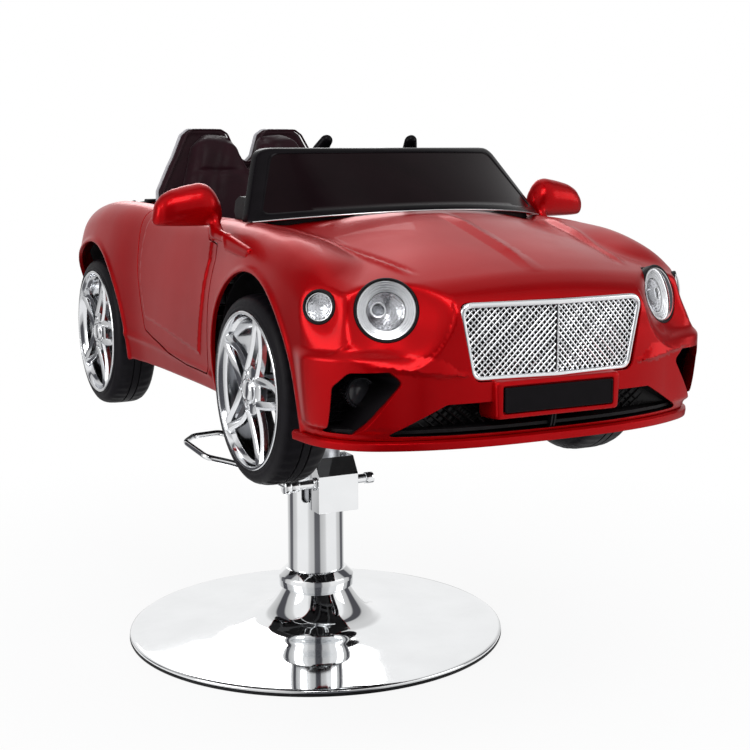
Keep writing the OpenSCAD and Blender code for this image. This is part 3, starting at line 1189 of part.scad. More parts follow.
// Knuckles: kingpin, stub axle, brake plate with its caliper, steering arm
arm_back = 30;
arm_rise = 16;
arm_z = axle_z + arm_rise;
brake_r = 62;
caliper_turn = 200;
brake_edge = 12;
brake_set = 8;
brake_in = wheel_face - tyre_w + brake_set;
stub_set = 16;
stub_end = wheel_face - stub_set;
module brake(turn) to_x() {
  cylinder(r = brake_r, h = tub_t);
  rotate([0, 0, turn]) intersection() {
    difference() {
      cylinder(r = rim_inner - groove, h = ear_w);
      up(-over) cylinder(r = brake_r - brake_edge, h = ear_w + over_d);
    }
    translate([brake_r / 2, -brake_r / 2, 0]) cube([brake_r * 2, brake_r, ear_w]);
  }
}
module knuckle() color(steel) translate([king_x, front_y, 0]) {
  up(ear_low - ear_t) cylinder(d = king_d, h = ear_high - ear_low + 2 * ear_t);
  up(ear_low + seat_gap) cylinder(d = king_d * 1.8, h = ear_high - ear_low - 2 * seat_gap);
  up(axle_z) to_x() cylinder(d = stub_d, h = stub_end - king_x);
  up(axle_z) to_x() cylinder(d = stub_d * 2, h = brake_in - king_x + tub_t);
  translate([brake_in - king_x, 0, axle_z]) brake(caliper_turn);
  translate([-king_d / 2, 0, arm_z - ear_t / 2]) cube([king_d, arm_back, ear_t]);
  translate([0, arm_back, arm_z - ear_t / 2]) cylinder(d = king_d, h = ear_t);
  translate([0, arm_back, arm_z - ear_t * 2]) cylinder(d = pin_d, h = ear_t * 3);
}
module knuckle_left() knuckle();
module knuckle_right() mirror([1, 0, 0]) knuckle();

// Tie rod with slotted ends and the fork plate that the crank moves
rod_z = arm_z - ear_t * 1.5;
rod_y = front_y + arm_back;
slot_slack = 2.5;
fork_l = 80;
module tie_rod() color(steel) difference() {
  union() {
    translate([-king_x + king_d, rod_y, rod_z]) to_x() cylinder(d = ear_t * 1.6, h = 2 * (king_x - king_d));
    both_sides() translate([king_x, rod_y, rod_z - ear_t / 2]) cylinder(d = king_d * 1.8,
      h = ear_t - seat_gap * 2);
    both_sides() translate([king_x - king_d * 1.6, rod_y - ear_t, rod_z - ear_t / 2]) cube([king_d,
      ear_t * 2, ear_t - seat_gap * 2]);
    translate([-king_d * 1.5, rod_y - fork_l, rod_z - ear_t / 2]) cube([king_d * 3, fork_l, ear_t]);
  }
  both_sides() translate([king_x, rod_y, rod_z - ear_t]) {
    for (y = [-slot_slack, slot_slack]) translate([0, y, 0]) cylinder(d = pin_d + run_d * 8, h = ear_t * 2);
    translate([-pin_d / 2 - run_gap * 8, -slot_slack, 0]) cube([pin_d + run_gap * 16, 2 * slot_slack,
      ear_t * 2]);
  }
  translate([-pin_d / 2 - seat_gap * 2, rod_y - fork_l + ear_t,
    rod_z - ear_t]) cube([pin_d + 4 * seat_gap, fork_l - ear_t * 2.4, ear_t * 2]);
}

// Fixed rear axle with its brake plates
module rear_axle() color(steel) translate([0, rear_y, axle_z]) {
  to_x() cylinder(d = stub_d, h = 2 * stub_end, center = true);
  both_sides() {
    translate([cross_half + seat_gap, 0, 0]) to_x() cylinder(d = stub_d * 2,
      h = brake_in - cross_half - seat_gap + tub_t);
    translate([brake_in, 0, 0]) brake(caliper_turn);
  }
}

// Wheels, drawn along Z with the outer face at zero
tyre_r = tyre_d / 2;
rim_r = rim_d / 2;
lip_t = 3;
barrel_t = 8;
rim_seat = rim_r - lip_t;
rim_inner = rim_seat - barrel_t;
hub_r = 20;
hub_l = 44;
groove = 3;
bead = 2;
spoke_t = 10;
spokes = 5;
shoulder = tyre_r - rim_seat;
module at_wheel(s, y) translate([s * wheel_face, y, axle_z]) rotate([0, s * 90, 0]) children();
module tyre() color(black) rotate_extrude($fn = 96) polygon(concat(
  [[rim_seat, -lip_t], [rim_r + run_gap, -lip_t], [rim_r + bead, -lip_t + bead / 2],
    [rim_seat + shoulder * 0.7, -lip_t - tyre_w * 0.04],
    [tyre_r - shoulder * 0.1, -tyre_w * 0.16], [tyre_r, -tyre_w * 0.27]],
  [for (k = [-1:1]) each let (z = -tyre_w * (0.52 + 0.12 * k))
    [[tyre_r, z + groove / 2], [tyre_r - groove, z + groove / 4], [tyre_r - groove, z - groove / 4],
      [tyre_r, z - groove / 2]]],
  [[tyre_r, -tyre_w * 0.77], [tyre_r - shoulder * 0.1, -tyre_w * 0.88], [rim_seat + shoulder * 0.6,
    -tyre_w * 0.97], [rim_seat, -tyre_w]]
));
module spoke_plan() for (k = [0:spokes - 1]) rotate(90 + 360 / spokes * k) for (s = [-1, 1]) polygon([
  [hub_r * 1.28, s * hub_r * 0.68], [hub_r * 1.71, s * hub_r * 0.36],
  [rim_inner, s * groove * 0.6], [rim_inner, s * spoke_t * 1.15], [rim_inner * 0.8, s * spoke_t * 1.3]]);
module rim() color(chrome) difference() {
  union() {
    rotate_extrude($fn = 96) polygon([
      [rim_inner, -lip_t * 2.5], [rim_r - lip_t, 0], [rim_r, -lip_t * 0.5], [rim_r, -lip_t + run_gap],
      [rim_seat, -lip_t], [rim_seat, -tyre_w + run_gap], [rim_inner + lip_t, -tyre_w + run_gap],
      [rim_inner + lip_t, -tyre_w * 0.4], [rim_inner, -tyre_w * 0.3]]);
    up(-spoke_t * 1.6) linear_extrude(spoke_t) spoke_plan();
    up(-hub_l - spoke_t * 0.4) cylinder(r = hub_r, h = hub_l);
    up(-spoke_t * 1.8) cylinder(r = hub_r * 1.6, h = spoke_t);
    up(-spoke_t * 0.4) cylinder(r1 = hub_r * 0.8, r2 = hub_r * 0.6, h = spoke_t * 0.25);
  }
  up(-hub_l - spoke_t) cylinder(d = stub_d + run_d, h = hub_l + spoke_t + stub_end - wheel_face + seat_gap);
  for (k = [0:spokes - 1]) rotate(90 + 360 / spokes * k) translate([hub_r * 1.15, 0, -spoke_t * 1.2])
    cylinder(d = bolt_d, h = spoke_t);
}
module tyre_front_left() at_wheel(1, front_y) tyre();
module rim_front_left() at_wheel(1, front_y) rim();
module tyre_front_right() at_wheel(-1, front_y) tyre();
module rim_front_right() at_wheel(-1, front_y) rim();
module tyre_rear_left() at_wheel(1, rear_y) tyre();
module rim_rear_left() at_wheel(1, rear_y) rim();
module tyre_rear_right() at_wheel(-1, rear_y) tyre();
module rim_rear_right() at_wheel(-1, rear_y) rim();

base_plate();
base_cover();
rubber_edge();
collar_ring();
column_tube();
piston_rod();
pump_cylinder();
pump_head();
pump_cover();
lever_shaft();
foot_lever();
swivel_socket();
thrust_bearing();
mount_bolts();
chassis_frame();
floor_pan();
body_shell();
arch_liners();
cockpit_tub();
dashboard();
windscreen_frame();
windscreen_pane();
seat_shell();
seat_cushion();
seat_back_pad();
grille_frame();
grille_mesh();
grille_backing();
lamp_housings();
lamp_bezels();
lamp_lenses();
bumper_meshes();
fog_lamps();
front_bumper();
number_plate();
tail_lamps();
mirror_housings();
mirror_glasses();
rear_axle();
door_skin_left();
door_trim_left();
door_skin_right();
door_trim_right();
door_hinges();
steering_yoke();
steering_shaft();
horn_button();
accelerator_pedal();
knuckle_left();
knuckle_right();
tie_rod();
tyre_front_left();
rim_front_left();
tyre_front_right();
rim_front_right();
tyre_rear_left();
rim_rear_left();
tyre_rear_right();
rim_rear_right();
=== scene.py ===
"""Looks for the children's salon car chair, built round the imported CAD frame.

Lengths are millimetres, apart from the camera, the lamps, the floor and Blender's own settings.
"""
import bpy, bmesh, json, math
import numpy as np
from mathutils import Matrix, Vector


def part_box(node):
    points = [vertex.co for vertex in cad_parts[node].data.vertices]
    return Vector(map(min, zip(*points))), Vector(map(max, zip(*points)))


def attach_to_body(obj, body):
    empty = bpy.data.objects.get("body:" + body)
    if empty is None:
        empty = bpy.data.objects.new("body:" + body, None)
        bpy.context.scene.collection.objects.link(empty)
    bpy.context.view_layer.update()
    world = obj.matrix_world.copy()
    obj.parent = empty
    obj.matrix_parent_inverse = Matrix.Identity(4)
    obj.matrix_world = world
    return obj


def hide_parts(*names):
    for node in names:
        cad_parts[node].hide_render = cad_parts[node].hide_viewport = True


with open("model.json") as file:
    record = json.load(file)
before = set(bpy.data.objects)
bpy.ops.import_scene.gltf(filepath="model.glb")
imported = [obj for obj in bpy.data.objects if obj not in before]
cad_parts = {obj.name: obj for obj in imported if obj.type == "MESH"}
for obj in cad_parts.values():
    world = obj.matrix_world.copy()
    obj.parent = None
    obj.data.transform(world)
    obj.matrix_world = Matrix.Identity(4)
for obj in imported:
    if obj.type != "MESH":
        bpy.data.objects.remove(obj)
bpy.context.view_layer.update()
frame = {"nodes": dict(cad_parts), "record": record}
NODES = frame["nodes"]
scene = bpy.context.scene
MM = 1000

# ---------------------------------------------------------------- camera, world, lamps, floor
cam = bpy.data.cameras.new("camera")
cam.lens, cam.sensor_width = 67.77, 36.0
cam_ob = bpy.data.objects.new("camera", cam)
scene.collection.objects.link(cam_ob)
cam_ob.location = (-0.9274, -2.0076, 0.7713)
yaw, pitch, roll = (math.radians(a) for a in (27.292, 9.125, -0.11))
look = Vector((math.sin(yaw) * math.cos(pitch), math.cos(yaw) * math.cos(pitch), -math.sin(pitch)))
cam_ob.rotation_mode = "QUATERNION"
cam_ob.rotation_quaternion = look.to_track_quat("-Z", "Y") @ Matrix.Rotation(roll, 3, "Z").to_quaternion()
scene.camera = cam_ob
scene.view_settings.view_transform = "Standard"


def wire(links, *runs):
    for start, end in runs:
        links.new(start, end)


def bands(nodes, links, place):
    """Soft grey bands by compass direction, which polished metal mirrors from the room and its floor."""
    xyz, ramp = nodes.new("ShaderNodeSeparateXYZ"), nodes.new("ShaderNodeValToRGB")
    turn, wide, sine, level = (nodes.new("ShaderNodeMath") for _ in range(4))
    turn.operation, sine.operation = "ARCTAN2", "SINE"
    wide.operation = level.operation = "MULTIPLY_ADD"
    how_many, start = 3, -2.17
    wide.inputs[1].default_value, wide.inputs[2].default_value = how_many, start
    level.inputs[1].default_value = level.inputs[2].default_value = 0.5
    stops = ramp.color_ramp.elements
    stops[0].position, stops[0].color = 0.05, (0.08, 0.08, 0.09, 1)
    stops[1].position, stops[1].color = 0.72, (0.96, 0.96, 0.96, 1)
    for at, grey in ((0.12, 0.55), (0.55, 0.70)):
        stops.new(at).color = (grey, grey, grey, 1)
    wire(links, (place, xyz.inputs[0]), (xyz.outputs["Y"], turn.inputs[0]), (xyz.outputs["X"], turn.inputs[1]),
         (turn.outputs[0], wide.inputs[0]), (wide.outputs[0], sine.inputs[0]),
         (sine.outputs[0], level.inputs[0]), (level.outputs[0], ramp.inputs["Fac"]))
    return ramp.outputs["Color"]


world = bpy.data.worlds.new("studio")
scene.world = world
world.use_nodes = True
wn, wl = world.node_tree.nodes, world.node_tree.links
wn.clear()
w_out, w_path, w_co, w_max, w_soft, w_gloss, w_white, w_room, w_mix = (wn.new("ShaderNode" + kind) for kind in (
    "OutputWorld", "LightPath", "TexCoord", "Math", "Background", "Background", "Background", "MixShader",
    "MixShader"))
w_soft.inputs["Color"].default_value = (0.93, 0.95, 1, 1)
w_soft.inputs["Strength"].default_value = 0.5
w_white.inputs["Color"].default_value = (1, 1, 1, 1)
w_max.operation = "MAXIMUM"
# the camera and clear pieces see white, polished metal sees the bands, and the rest gets soft light
wire(wl, (bands(wn, wl, w_co.outputs["Generated"]), w_gloss.inputs["Color"]),
     (w_path.outputs["Is Glossy Ray"], w_room.inputs["Fac"]),
     (w_soft.outputs[0], w_room.inputs[1]), (w_gloss.outputs[0], w_room.inputs[2]),
     (w_path.outputs["Is Camera Ray"], w_max.inputs[0]), (w_path.outputs["Is Transmission Ray"],
                                                          w_max.inputs[1]),
     (w_max.outputs[0], w_mix.inputs["Fac"]),
     (w_room.outputs[0], w_mix.inputs[1]), (w_white.outputs[0], w_mix.inputs[2]),
     (w_mix.outputs[0], w_out.inputs["Surface"]))


def lamp(name, place, aim, size, energy, size_y=None):
    data = bpy.data.lights.new(name, "AREA")
    data.energy, data.size = energy, size
    if size_y:
        data.shape, data.size_y = "RECTANGLE", size_y
    ob = bpy.data.objects.new(name, data)
    scene.collection.objects.link(ob)
    ob.location = place
    ob.rotation_mode = "QUATERNION"
    ob.rotation_quaternion = (Vector(aim) - Vector(place)).to_track_quat("-Z", "Y")


lamp("key", (-0.6, -1.9, 2.5), (0, 0, 0.5), 1.2, 28)
lamp("side", (-2.6, -0.3, 1.3), (0, 0, 0.45), 1.3, 22, 1.6)
lamp("fill", (2.4, -1.6, 1.2), (0, 0, 0.4), 1.4, 12)
lamp("back", (0.8, 2.6, 1.9), (0, 0, 0.5), 1.4, 18)


# ---------------------------------------------------------------- materials
def material(name, base, rough=0.4, metal=0.0, coat=0.0, var=0.1, scale=45, rough_var=0.05, bump=0.0,
             bump_scale=300, grain="noise", edge=0.0008, spec=0.5, trans=0.0, ior=1.5, sheen=0.0,
             stretch=(1, 1, 1)):
    """Principled material whose colour, roughness and grain vary a little over the surface."""
    m = bpy.data.materials.new(name)
    m.use_nodes = True
    n, l = m.node_tree.nodes, m.node_tree.links
    b = n["Principled BSDF"]
    co = n.new("ShaderNodeTexCoord")
    mp = n.new("ShaderNodeMapping"); mp.inputs["Scale"].default_value = stretch
    l.new(co.outputs["Object"], mp.inputs["Vector"])
    tone = n.new("ShaderNodeTexNoise"); tone.inputs["Scale"].default_value = scale
    tone.inputs["Detail"].default_value = 4
    l.new(mp.outputs["Vector"], tone.inputs["Vector"])
    ramp = n.new("ShaderNodeValToRGB")
    low, high = ramp.color_ramp.elements
    low.position, low.color = 0.3, (*(c * (1 - var) for c in base), 1)
    high.position, high.color = 0.7, (*(min(c * (1 + var), 1) for c in base), 1)
    l.new(tone.outputs["Fac"], ramp.inputs["Fac"]); l.new(ramp.outputs["Color"], b.inputs["Base Color"])
    wear = n.new("ShaderNodeTexNoise"); wear.inputs["Scale"].default_value = scale * 2.7
    wear.inputs["Detail"].default_value = 6
    l.new(mp.outputs["Vector"], wear.inputs["Vector"])
    rr = n.new("ShaderNodeMapRange")
    rr.inputs["To Min"].default_value = max(rough - rough_var, 0.01)
    rr.inputs["To Max"].default_value = rough + rough_var
    l.new(wear.outputs["Fac"], rr.inputs["Value"]); l.new(rr.outputs["Result"], b.inputs["Roughness"])
    normal = None
    if edge:
        bev = n.new("ShaderNodeBevel"); bev.samples = 4; bev.inputs["Radius"].default_value = edge
        normal = bev.outputs["Normal"]
    if bump:
        if grain == "noise":
            g = n.new("ShaderNodeTexNoise"); g.inputs["Detail"].default_value = 3; out = g.outputs["Fac"]
        elif grain == "flake":
            g = n.new("ShaderNodeTexVoronoi"); out = g.outputs["Color"]
        else:
            g = n.new("ShaderNodeTexVoronoi"); g.feature = "DISTANCE_TO_EDGE"; out = g.outputs["Distance"]
        g.inputs["Scale"].default_value = bump_scale
        l.new(mp.outputs["Vector"], g.inputs["Vector"])
        bp = n.new("ShaderNodeBump"); bp.inputs["Strength"].default_value = bump
        bp.inputs["Distance"].default_value = 0.0006
        l.new(out, bp.inputs["Height"])
        if normal:
            l.new(normal, bp.inputs["Normal"])
        normal = bp.outputs["Normal"]
    if normal:
        l.new(normal, b.inputs["Normal"])
    for socket, value in (("Metallic", metal), ("Coat Weight", coat), ("Coat Roughness", 0.03), ("IOR", ior),
                          ("Specular IOR Level", spec), ("Transmission Weight", trans),
                          ("Sheen Weight", sheen)):
        b.inputs[socket].default_value = value
    return m


RED = material("red_paint", (0.39, 0.001, 0.003), 0.31, metal=0.55, coat=0.09, spec=0.04, var=0.07, scale=9,
               bump=0.03, bump_scale=900, grain="flake", edge=0.0014)
CHROME = material("chrome", (0.86, 0.87, 0.88), 0.045, 1.0, var=0.03, scale=14, rough_var=0.02, edge=0.0006)
PLATED = material("plated_plastic", (0.80, 0.81, 0.83), 0.10, 1.0, var=0.04, scale=40, rough_var=0.04,
                  edge=0.0007)
SATIN = material("satin_silver", (0.62, 0.62, 0.63), 0.30, 1.0, var=0.05, scale=120, rough_var=0.06, bump=0.05,
                 bump_scale=700, edge=0.0003)
STEEL = material("brushed_steel", (0.42, 0.43, 0.45), 0.34, 1.0, var=0.08, scale=70, rough_var=0.08, bump=0.06,
                 bump_scale=500, stretch=(1, 1, 4))
FRAME = material("painted_frame", (0.022, 0.022, 0.024), 0.45, var=0.2, scale=60, bump=0.12, bump_scale=260)
BLACK = material("black_plastic", (0.007, 0.006, 0.007), 0.45, spec=0.14, var=0.25, scale=70, bump=0.25,
                 bump_scale=900, grain="cells")
GLOSS = material("gloss_black", (0.004, 0.003, 0.004), 0.24, coat=0.02, spec=0.06, var=0.2, scale=40,
                 rough_var=0.03)
INSERT = material("insert_black", (0.007, 0.006, 0.007), 0.30, coat=0.05, spec=0.15, var=0.25, scale=60,
                  rough_var=0.06)
RUBBER = material("tyre_rubber", (0.006, 0.005, 0.007), 0.50, spec=0.12, var=0.2, scale=50, rough_var=0.08,
                  bump=0.2, bump_scale=600, edge=0.0012)
EDGE = material("edge_rubber", (0.008, 0.008, 0.009), 0.5, spec=0.15, var=0.2, scale=60, bump=0.2,
                bump_scale=500)
LEATHER = material("seat_leather", (0.015, 0.002, 0.005), 0.42, coat=0.0, spec=0.09, var=0.22, scale=30,
                   rough_var=0.07, bump=0.30, bump_scale=520, grain="cells", edge=0, sheen=0.05)
GREY = material("grey_shell", (0.50, 0.49, 0.51), 0.5, spec=0.3, var=0.05, scale=50, bump=0.10, bump_scale=700,
                edge=0.0012)
FOG = material("fog_glass", (0.03, 0.03, 0.034), 0.24, coat=0.5, spec=0.5)
TINT = material("screen_tint", (0.007, 0.003, 0.004), 0.16, coat=0.03, var=0.15, scale=20, rough_var=0.02,
                spec=0.03)
LENS = material("clear_lens", (0.96, 0.97, 0.98), 0.03, var=0.02, scale=30, rough_var=0.01, trans=1.0, ior=1.08,
                edge=0)
CRYSTAL = material("cut_reflector", (0.60, 0.60, 0.62), 0.14, 1.0, var=0.12, scale=160, rough_var=0.06,
                   bump=0.5, bump_scale=330, grain="cells", edge=0)
REDLENS = material("red_lens", (0.50, 0.012, 0.012), 0.12, coat=0.8, var=0.15, scale=60, bump=0.35,
                   bump_scale=170, grain="cells")
MIRROR = material("mirror_glass", (0.86, 0.88, 0.9), 0.03, 1.0, var=0.02, scale=20, rough_var=0.01)
CALIPER = material("caliper_red", (0.42, 0.010, 0.008), 0.34, coat=0.5, var=0.12, scale=60, rough_var=0.06)

SLOT_LOOK = {"bright_chrome": CHROME, "edge_rubber": EDGE, "machined_steel": STEEL, "floor_steel": FRAME,
             "frame_steel": FRAME, "red_body": RED, "black_trim": BLACK, "black_gloss": GLOSS,
             "screen_tint": TINT, "grey_shell": GREY, "seat_leather": LEATHER, "chromed_plastic": PLATED,
             "clear_lens": LENS, "red_lens": REDLENS, "mirror_glass": MIRROR, "tyre_rubber": RUBBER}
slot_of = {row["node"]: row["material_slot"] for row in frame["record"]["subparts"]}
for name, ob in NODES.items():
    look_of = SLOT_LOOK.get(slot_of.get(name), BLACK)
    ob.data.materials.clear()
    ob.data.materials.append(look_of)


# ---------------------------------------------------------------- mesh helpers
def mesh(name, verts, faces):
    me = bpy.data.meshes.new(name)
    me.from_pydata((np.asarray(verts, float) / MM).tolist(), [], [list(map(int, f)) for f in faces])
    me.update()
    return me


def piece(name, verts, faces, mat, body, replaces=(), smooth=35, normals=None):
    """Object of its own; with a body, it rides it and stands in for the CAD nodes that it replaces."""
    me = mesh(name, verts, faces)
    me.materials.append(mat)
    ob = bpy.data.objects.new(name, me)
    scene.collection.objects.link(ob)
    shade(ob, smooth)
    if normals is not None:
        me.normals_split_custom_set_from_vertices(np.asarray(normals).tolist())
    if body:
        attach(ob, body, replaces)
    return ob


def attach(ob, body, replaces=()):
    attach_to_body(ob, body)
    if replaces:
        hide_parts(*replaces)
    return ob


def shade(ob, angle=35):
    bm = bmesh.new(); bm.from_mesh(ob.data)
    limit = math.radians(angle)
    for f in bm.faces:
        f.smooth = True
    for e in bm.edges:
        e.smooth = len(e.link_faces) != 2 or e.calc_face_angle(0) < limit
    bm.to_mesh(ob.data); bm.free()


def grid_faces(n, m, wrap_n=False, wrap_m=False):
    """Quads of an n by m grid of points, with either direction closed."""
    out = []
    for i in range(n if wrap_n else n - 1):
        for j in range(m if wrap_m else m - 1):
            a, b = i * m + j, ((i + 1) % n) * m + j
            c, d = ((i + 1) % n) * m + (j + 1) % m, i * m + (j + 1) % m
            out.append((a, b, c, d))
    return out


def join(*parts):
    verts, faces, k = [], [], 0
    for v, f in parts:
        v = np.asarray(v, float)
        verts.append(v)
        faces += [tuple(i + k for i in q) for q in f]
        k += len(v)
    return np.concatenate(verts), faces


def revolve(profile, n=64, closed=False, wobble=None):
    """Turns (radius, height) points round Z. closed joins the last point to the first."""
    p = np.asarray(profile, float)
    a = np.arange(n) * 2 * math.pi / n
    r = p[None, :, 0].repeat(n, 0)
    if wobble is not None:
        r = wobble(a[:, None], r, p[None, :, 1])
    v = np.stack([r * np.cos(a)[:, None], r * np.sin(a)[:, None], p[None, :, 1].repeat(n, 0)], 2).reshape(-1, 3)
    return v, grid_faces(n, len(p), True, closed)


def end_faces(rings, n):
    """The first and the last ring's face, for a number of rings of n points."""
    return [tuple(range(n)), tuple((rings - 1) * n + i for i in reversed(range(n)))]


def stacked(rings):
    """Closed form through rings of as many points each, with a flat face at each end."""
    n = len(rings[0])
    return orient(np.concatenate([np.asarray(r, float) for r in rings]),
                  grid_faces(len(rings), n, False, True) + end_faces(len(rings), n))


def moved(part, by_how_much):
    return part[0] + np.asarray(by_how_much, float), part[1]


def tube(points, radius, sides=10, closed=False, flat=1.0, up=(0, 0, 1)):
    p = np.asarray(points, float)
    n = len(p)
    r = np.broadcast_to(np.asarray(radius, float), (n,))
    t = np.roll(p, -1, 0) - np.roll(p, 1, 0) if closed else np.gradient(p, axis=0)
    t /= np.linalg.norm(t, axis=1)[:, None]
    u = np.asarray(up, float)
    side = np.cross(t, u)
    bad = np.linalg.norm(side, axis=1) < 1e-3
    side[bad] = np.cross(t[bad], (1, 0.2, 0.1))
    side /= np.linalg.norm(side, axis=1)[:, None]
    lift = np.cross(side, t)
    a = np.arange(sides) * 2 * math.pi / sides
    ring = np.cos(a)[None, :, None] * side[:, None] + flat * np.sin(a)[None, :, None] * lift[:, None]
    v = p[:, None] + r[:, None, None] * ring
    f = grid_faces(n, sides, closed, True)
    if not closed:
        f += end_faces(n, sides)
    return v.reshape(-1, 3), f


def smooth_path(points, n):
    """Catmull-Rom curve through the points, sampled n times."""
    p = np.asarray(points, float)
    k = len(p)
    s = np.linspace(0, k - 1, n)
    i = np.minimum(s.astype(int), k - 2)
    t = (s - i)[:, None]
    a, b, c, d = (p[np.clip(i + step, 0, k - 1)] for step in (-1, 0, 1, 2))
    return 0.5 * (2 * b + (c - a) * t + (2 * a - 5 * b + 4 * c - d) * t ** 2 + (3 * b - a - 3 * c + d) * t ** 3)


def rounded(points, radius, steps=6):
    """Closed outline with round corners; radius is one number or one for each corner."""
    p = np.asarray(points, float)
    k = len(p)
    rad = np.broadcast_to(np.asarray(radius, float), (k,))
    out = []
    for i in range(k):
        a, b, c = p[i - 1], p[i], p[(i + 1) % k]
        u, w = a - b, c - b
        lu, lw = np.linalg.norm(u), np.linalg.norm(w)
        u, w = u / lu, w / lw
        half = math.acos(float(np.clip(u @ w, -1, 1))) / 2
        d = min(rad[i] / math.tan(half), lu * 0.49, lw * 0.49)
        s, e = b + u * d, b + w * d
        for q in range(steps + 1):
            t = q / steps
            out.append((1 - t) ** 2 * s + 2 * t * (1 - t) * b + t * t * e)
    return np.array(out)


def area2(p):
    x, y = p[:, 0], p[:, 1]
    return float(np.sum(x * np.roll(y, -1) - y * np.roll(x, -1)) / 2)


def prism(outline, lo, hi, axis):
    """Closed prism of an outline along X ('x': outline is Y, Z), Y ('y': X, Z) or Z ('z': X, Y)."""
    p = np.asarray(outline, float)
    n = len(p)
    h = np.array([lo, hi], float)[:, None].repeat(n, 1).reshape(-1)
    q = np.concatenate([p, p])
    cols = {"x": (h, q[:, 0], q[:, 1]), "y": (q[:, 0], h, q[:, 1]), "z": (q[:, 0], q[:, 1], h)}[axis]
    v = np.stack(cols, 1)
    f = [(i, (i + 1) % n, n + (i + 1) % n, n + i) for i in range(n)]
    return orient(v, f + [tuple(reversed(range(n))), tuple(range(n, 2 * n))])


def orient(v, f):
    """Turns the faces outwards."""
    vol = 0.0
    for q in f:
        for k in range(1, len(q) - 1):
            vol += np.dot(v[q[0]], np.cross(v[q[k]], v[q[k + 1]]))
    return (v, f) if vol > 0 else (v, [tuple(reversed(q)) for q in f])


def flip_x(part):
    v, f = part
    v = np.array(v, float); v[:, 0] *= -1
    return v, [tuple(reversed(q)) for q in f]


def pair(part):
    return [part, flip_x(part)]


def both(part):
    return join(*pair(part))


def side_prisms(outline, lo, hi):
    """Prisms of a side outline on the left and on the right."""
    return [prism(outline, lo, hi, "x"), prism(outline, -hi, -lo, "x")]


def placed(part, at, *axes):
    """Turns a part from its own three axes to the given ones and moves its origin to a point."""
    return np.asarray(at, float) + np.asarray(part[0], float) @ np.array(axes, float), part[1]


def cut(ob, cutter, operation="DIFFERENCE"):
    """Boolean with a list of (verts, faces) parts, one after the other."""
    for v, f in cutter:
        me = mesh("cutter", v, f)
        tool = bpy.data.objects.new("cutter", me)
        scene.collection.objects.link(tool)
        mod = ob.modifiers.new("cut", "BOOLEAN")
        mod.operation, mod.object, mod.solver = operation, tool, "MANIFOLD"
        apply(ob)
        bpy.data.objects.remove(tool)
        bpy.data.meshes.remove(me)
    return ob


def apply(ob):
    dg = bpy.context.evaluated_depsgraph_get()
    me = bpy.data.meshes.new_from_object(ob.evaluated_get(dg))
    old = ob.data
    ob.modifiers.clear()
    ob.data = me
    bpy.data.meshes.remove(old)


def taken(ob):
    """The points and faces of an object, which is then removed."""
    part = (np.array([c.co for c in ob.data.vertices]) * MM, [tuple(p.vertices) for p in ob.data.polygons])
    bpy.data.objects.remove(ob)
    return part


def points_of(me, what="co"):
    """Places or normals of a mesh's vertices, in metres."""
    out = np.zeros(len(me.vertices) * 3)
    me.vertices.foreach_get(what, out)
    return out.reshape(-1, 3)


def reach(holds, lo, hi, steps):
    """The furthest value from lo towards hi that still holds, by halving."""
    for _ in range(steps):
        mid = (lo + hi) / 2
        lo, hi = (mid, hi) if holds(mid) else (lo, mid)
    return lo


def filled(step, *outlines):
    """Adds points to closed outlines that run side by side, about a step apart on the first."""
    out = [[] for _ in outlines]
    first = outlines[0]
    for i in range(len(first)):
        j = (i + 1) % len(first)
        k = max(1, int(np.linalg.norm(first[j] - first[i]) / step))
        for row, p in zip(out, outlines):
            row += [p[i] + (p[j] - p[i]) * t / k for t in range(k)]
    return out


def copy_of(ob, name):
    new = bpy.data.objects.new(name, ob.data.copy())
    scene.collection.objects.link(new)
    return new


def nearest_slope(f, v, h=0.12):
    """Slope of a form at points, by central differences."""
    return np.stack([(f(v[:, 0] + h * (i == 0), v[:, 1] + h * (i == 1), v[:, 2] + h * (i == 2))
                   - f(v[:, 0] - h * (i == 0), v[:, 1] - h * (i == 1), v[:, 2] - h * (i == 2))) / (2 * h)
                     for i in range(3)], 1)


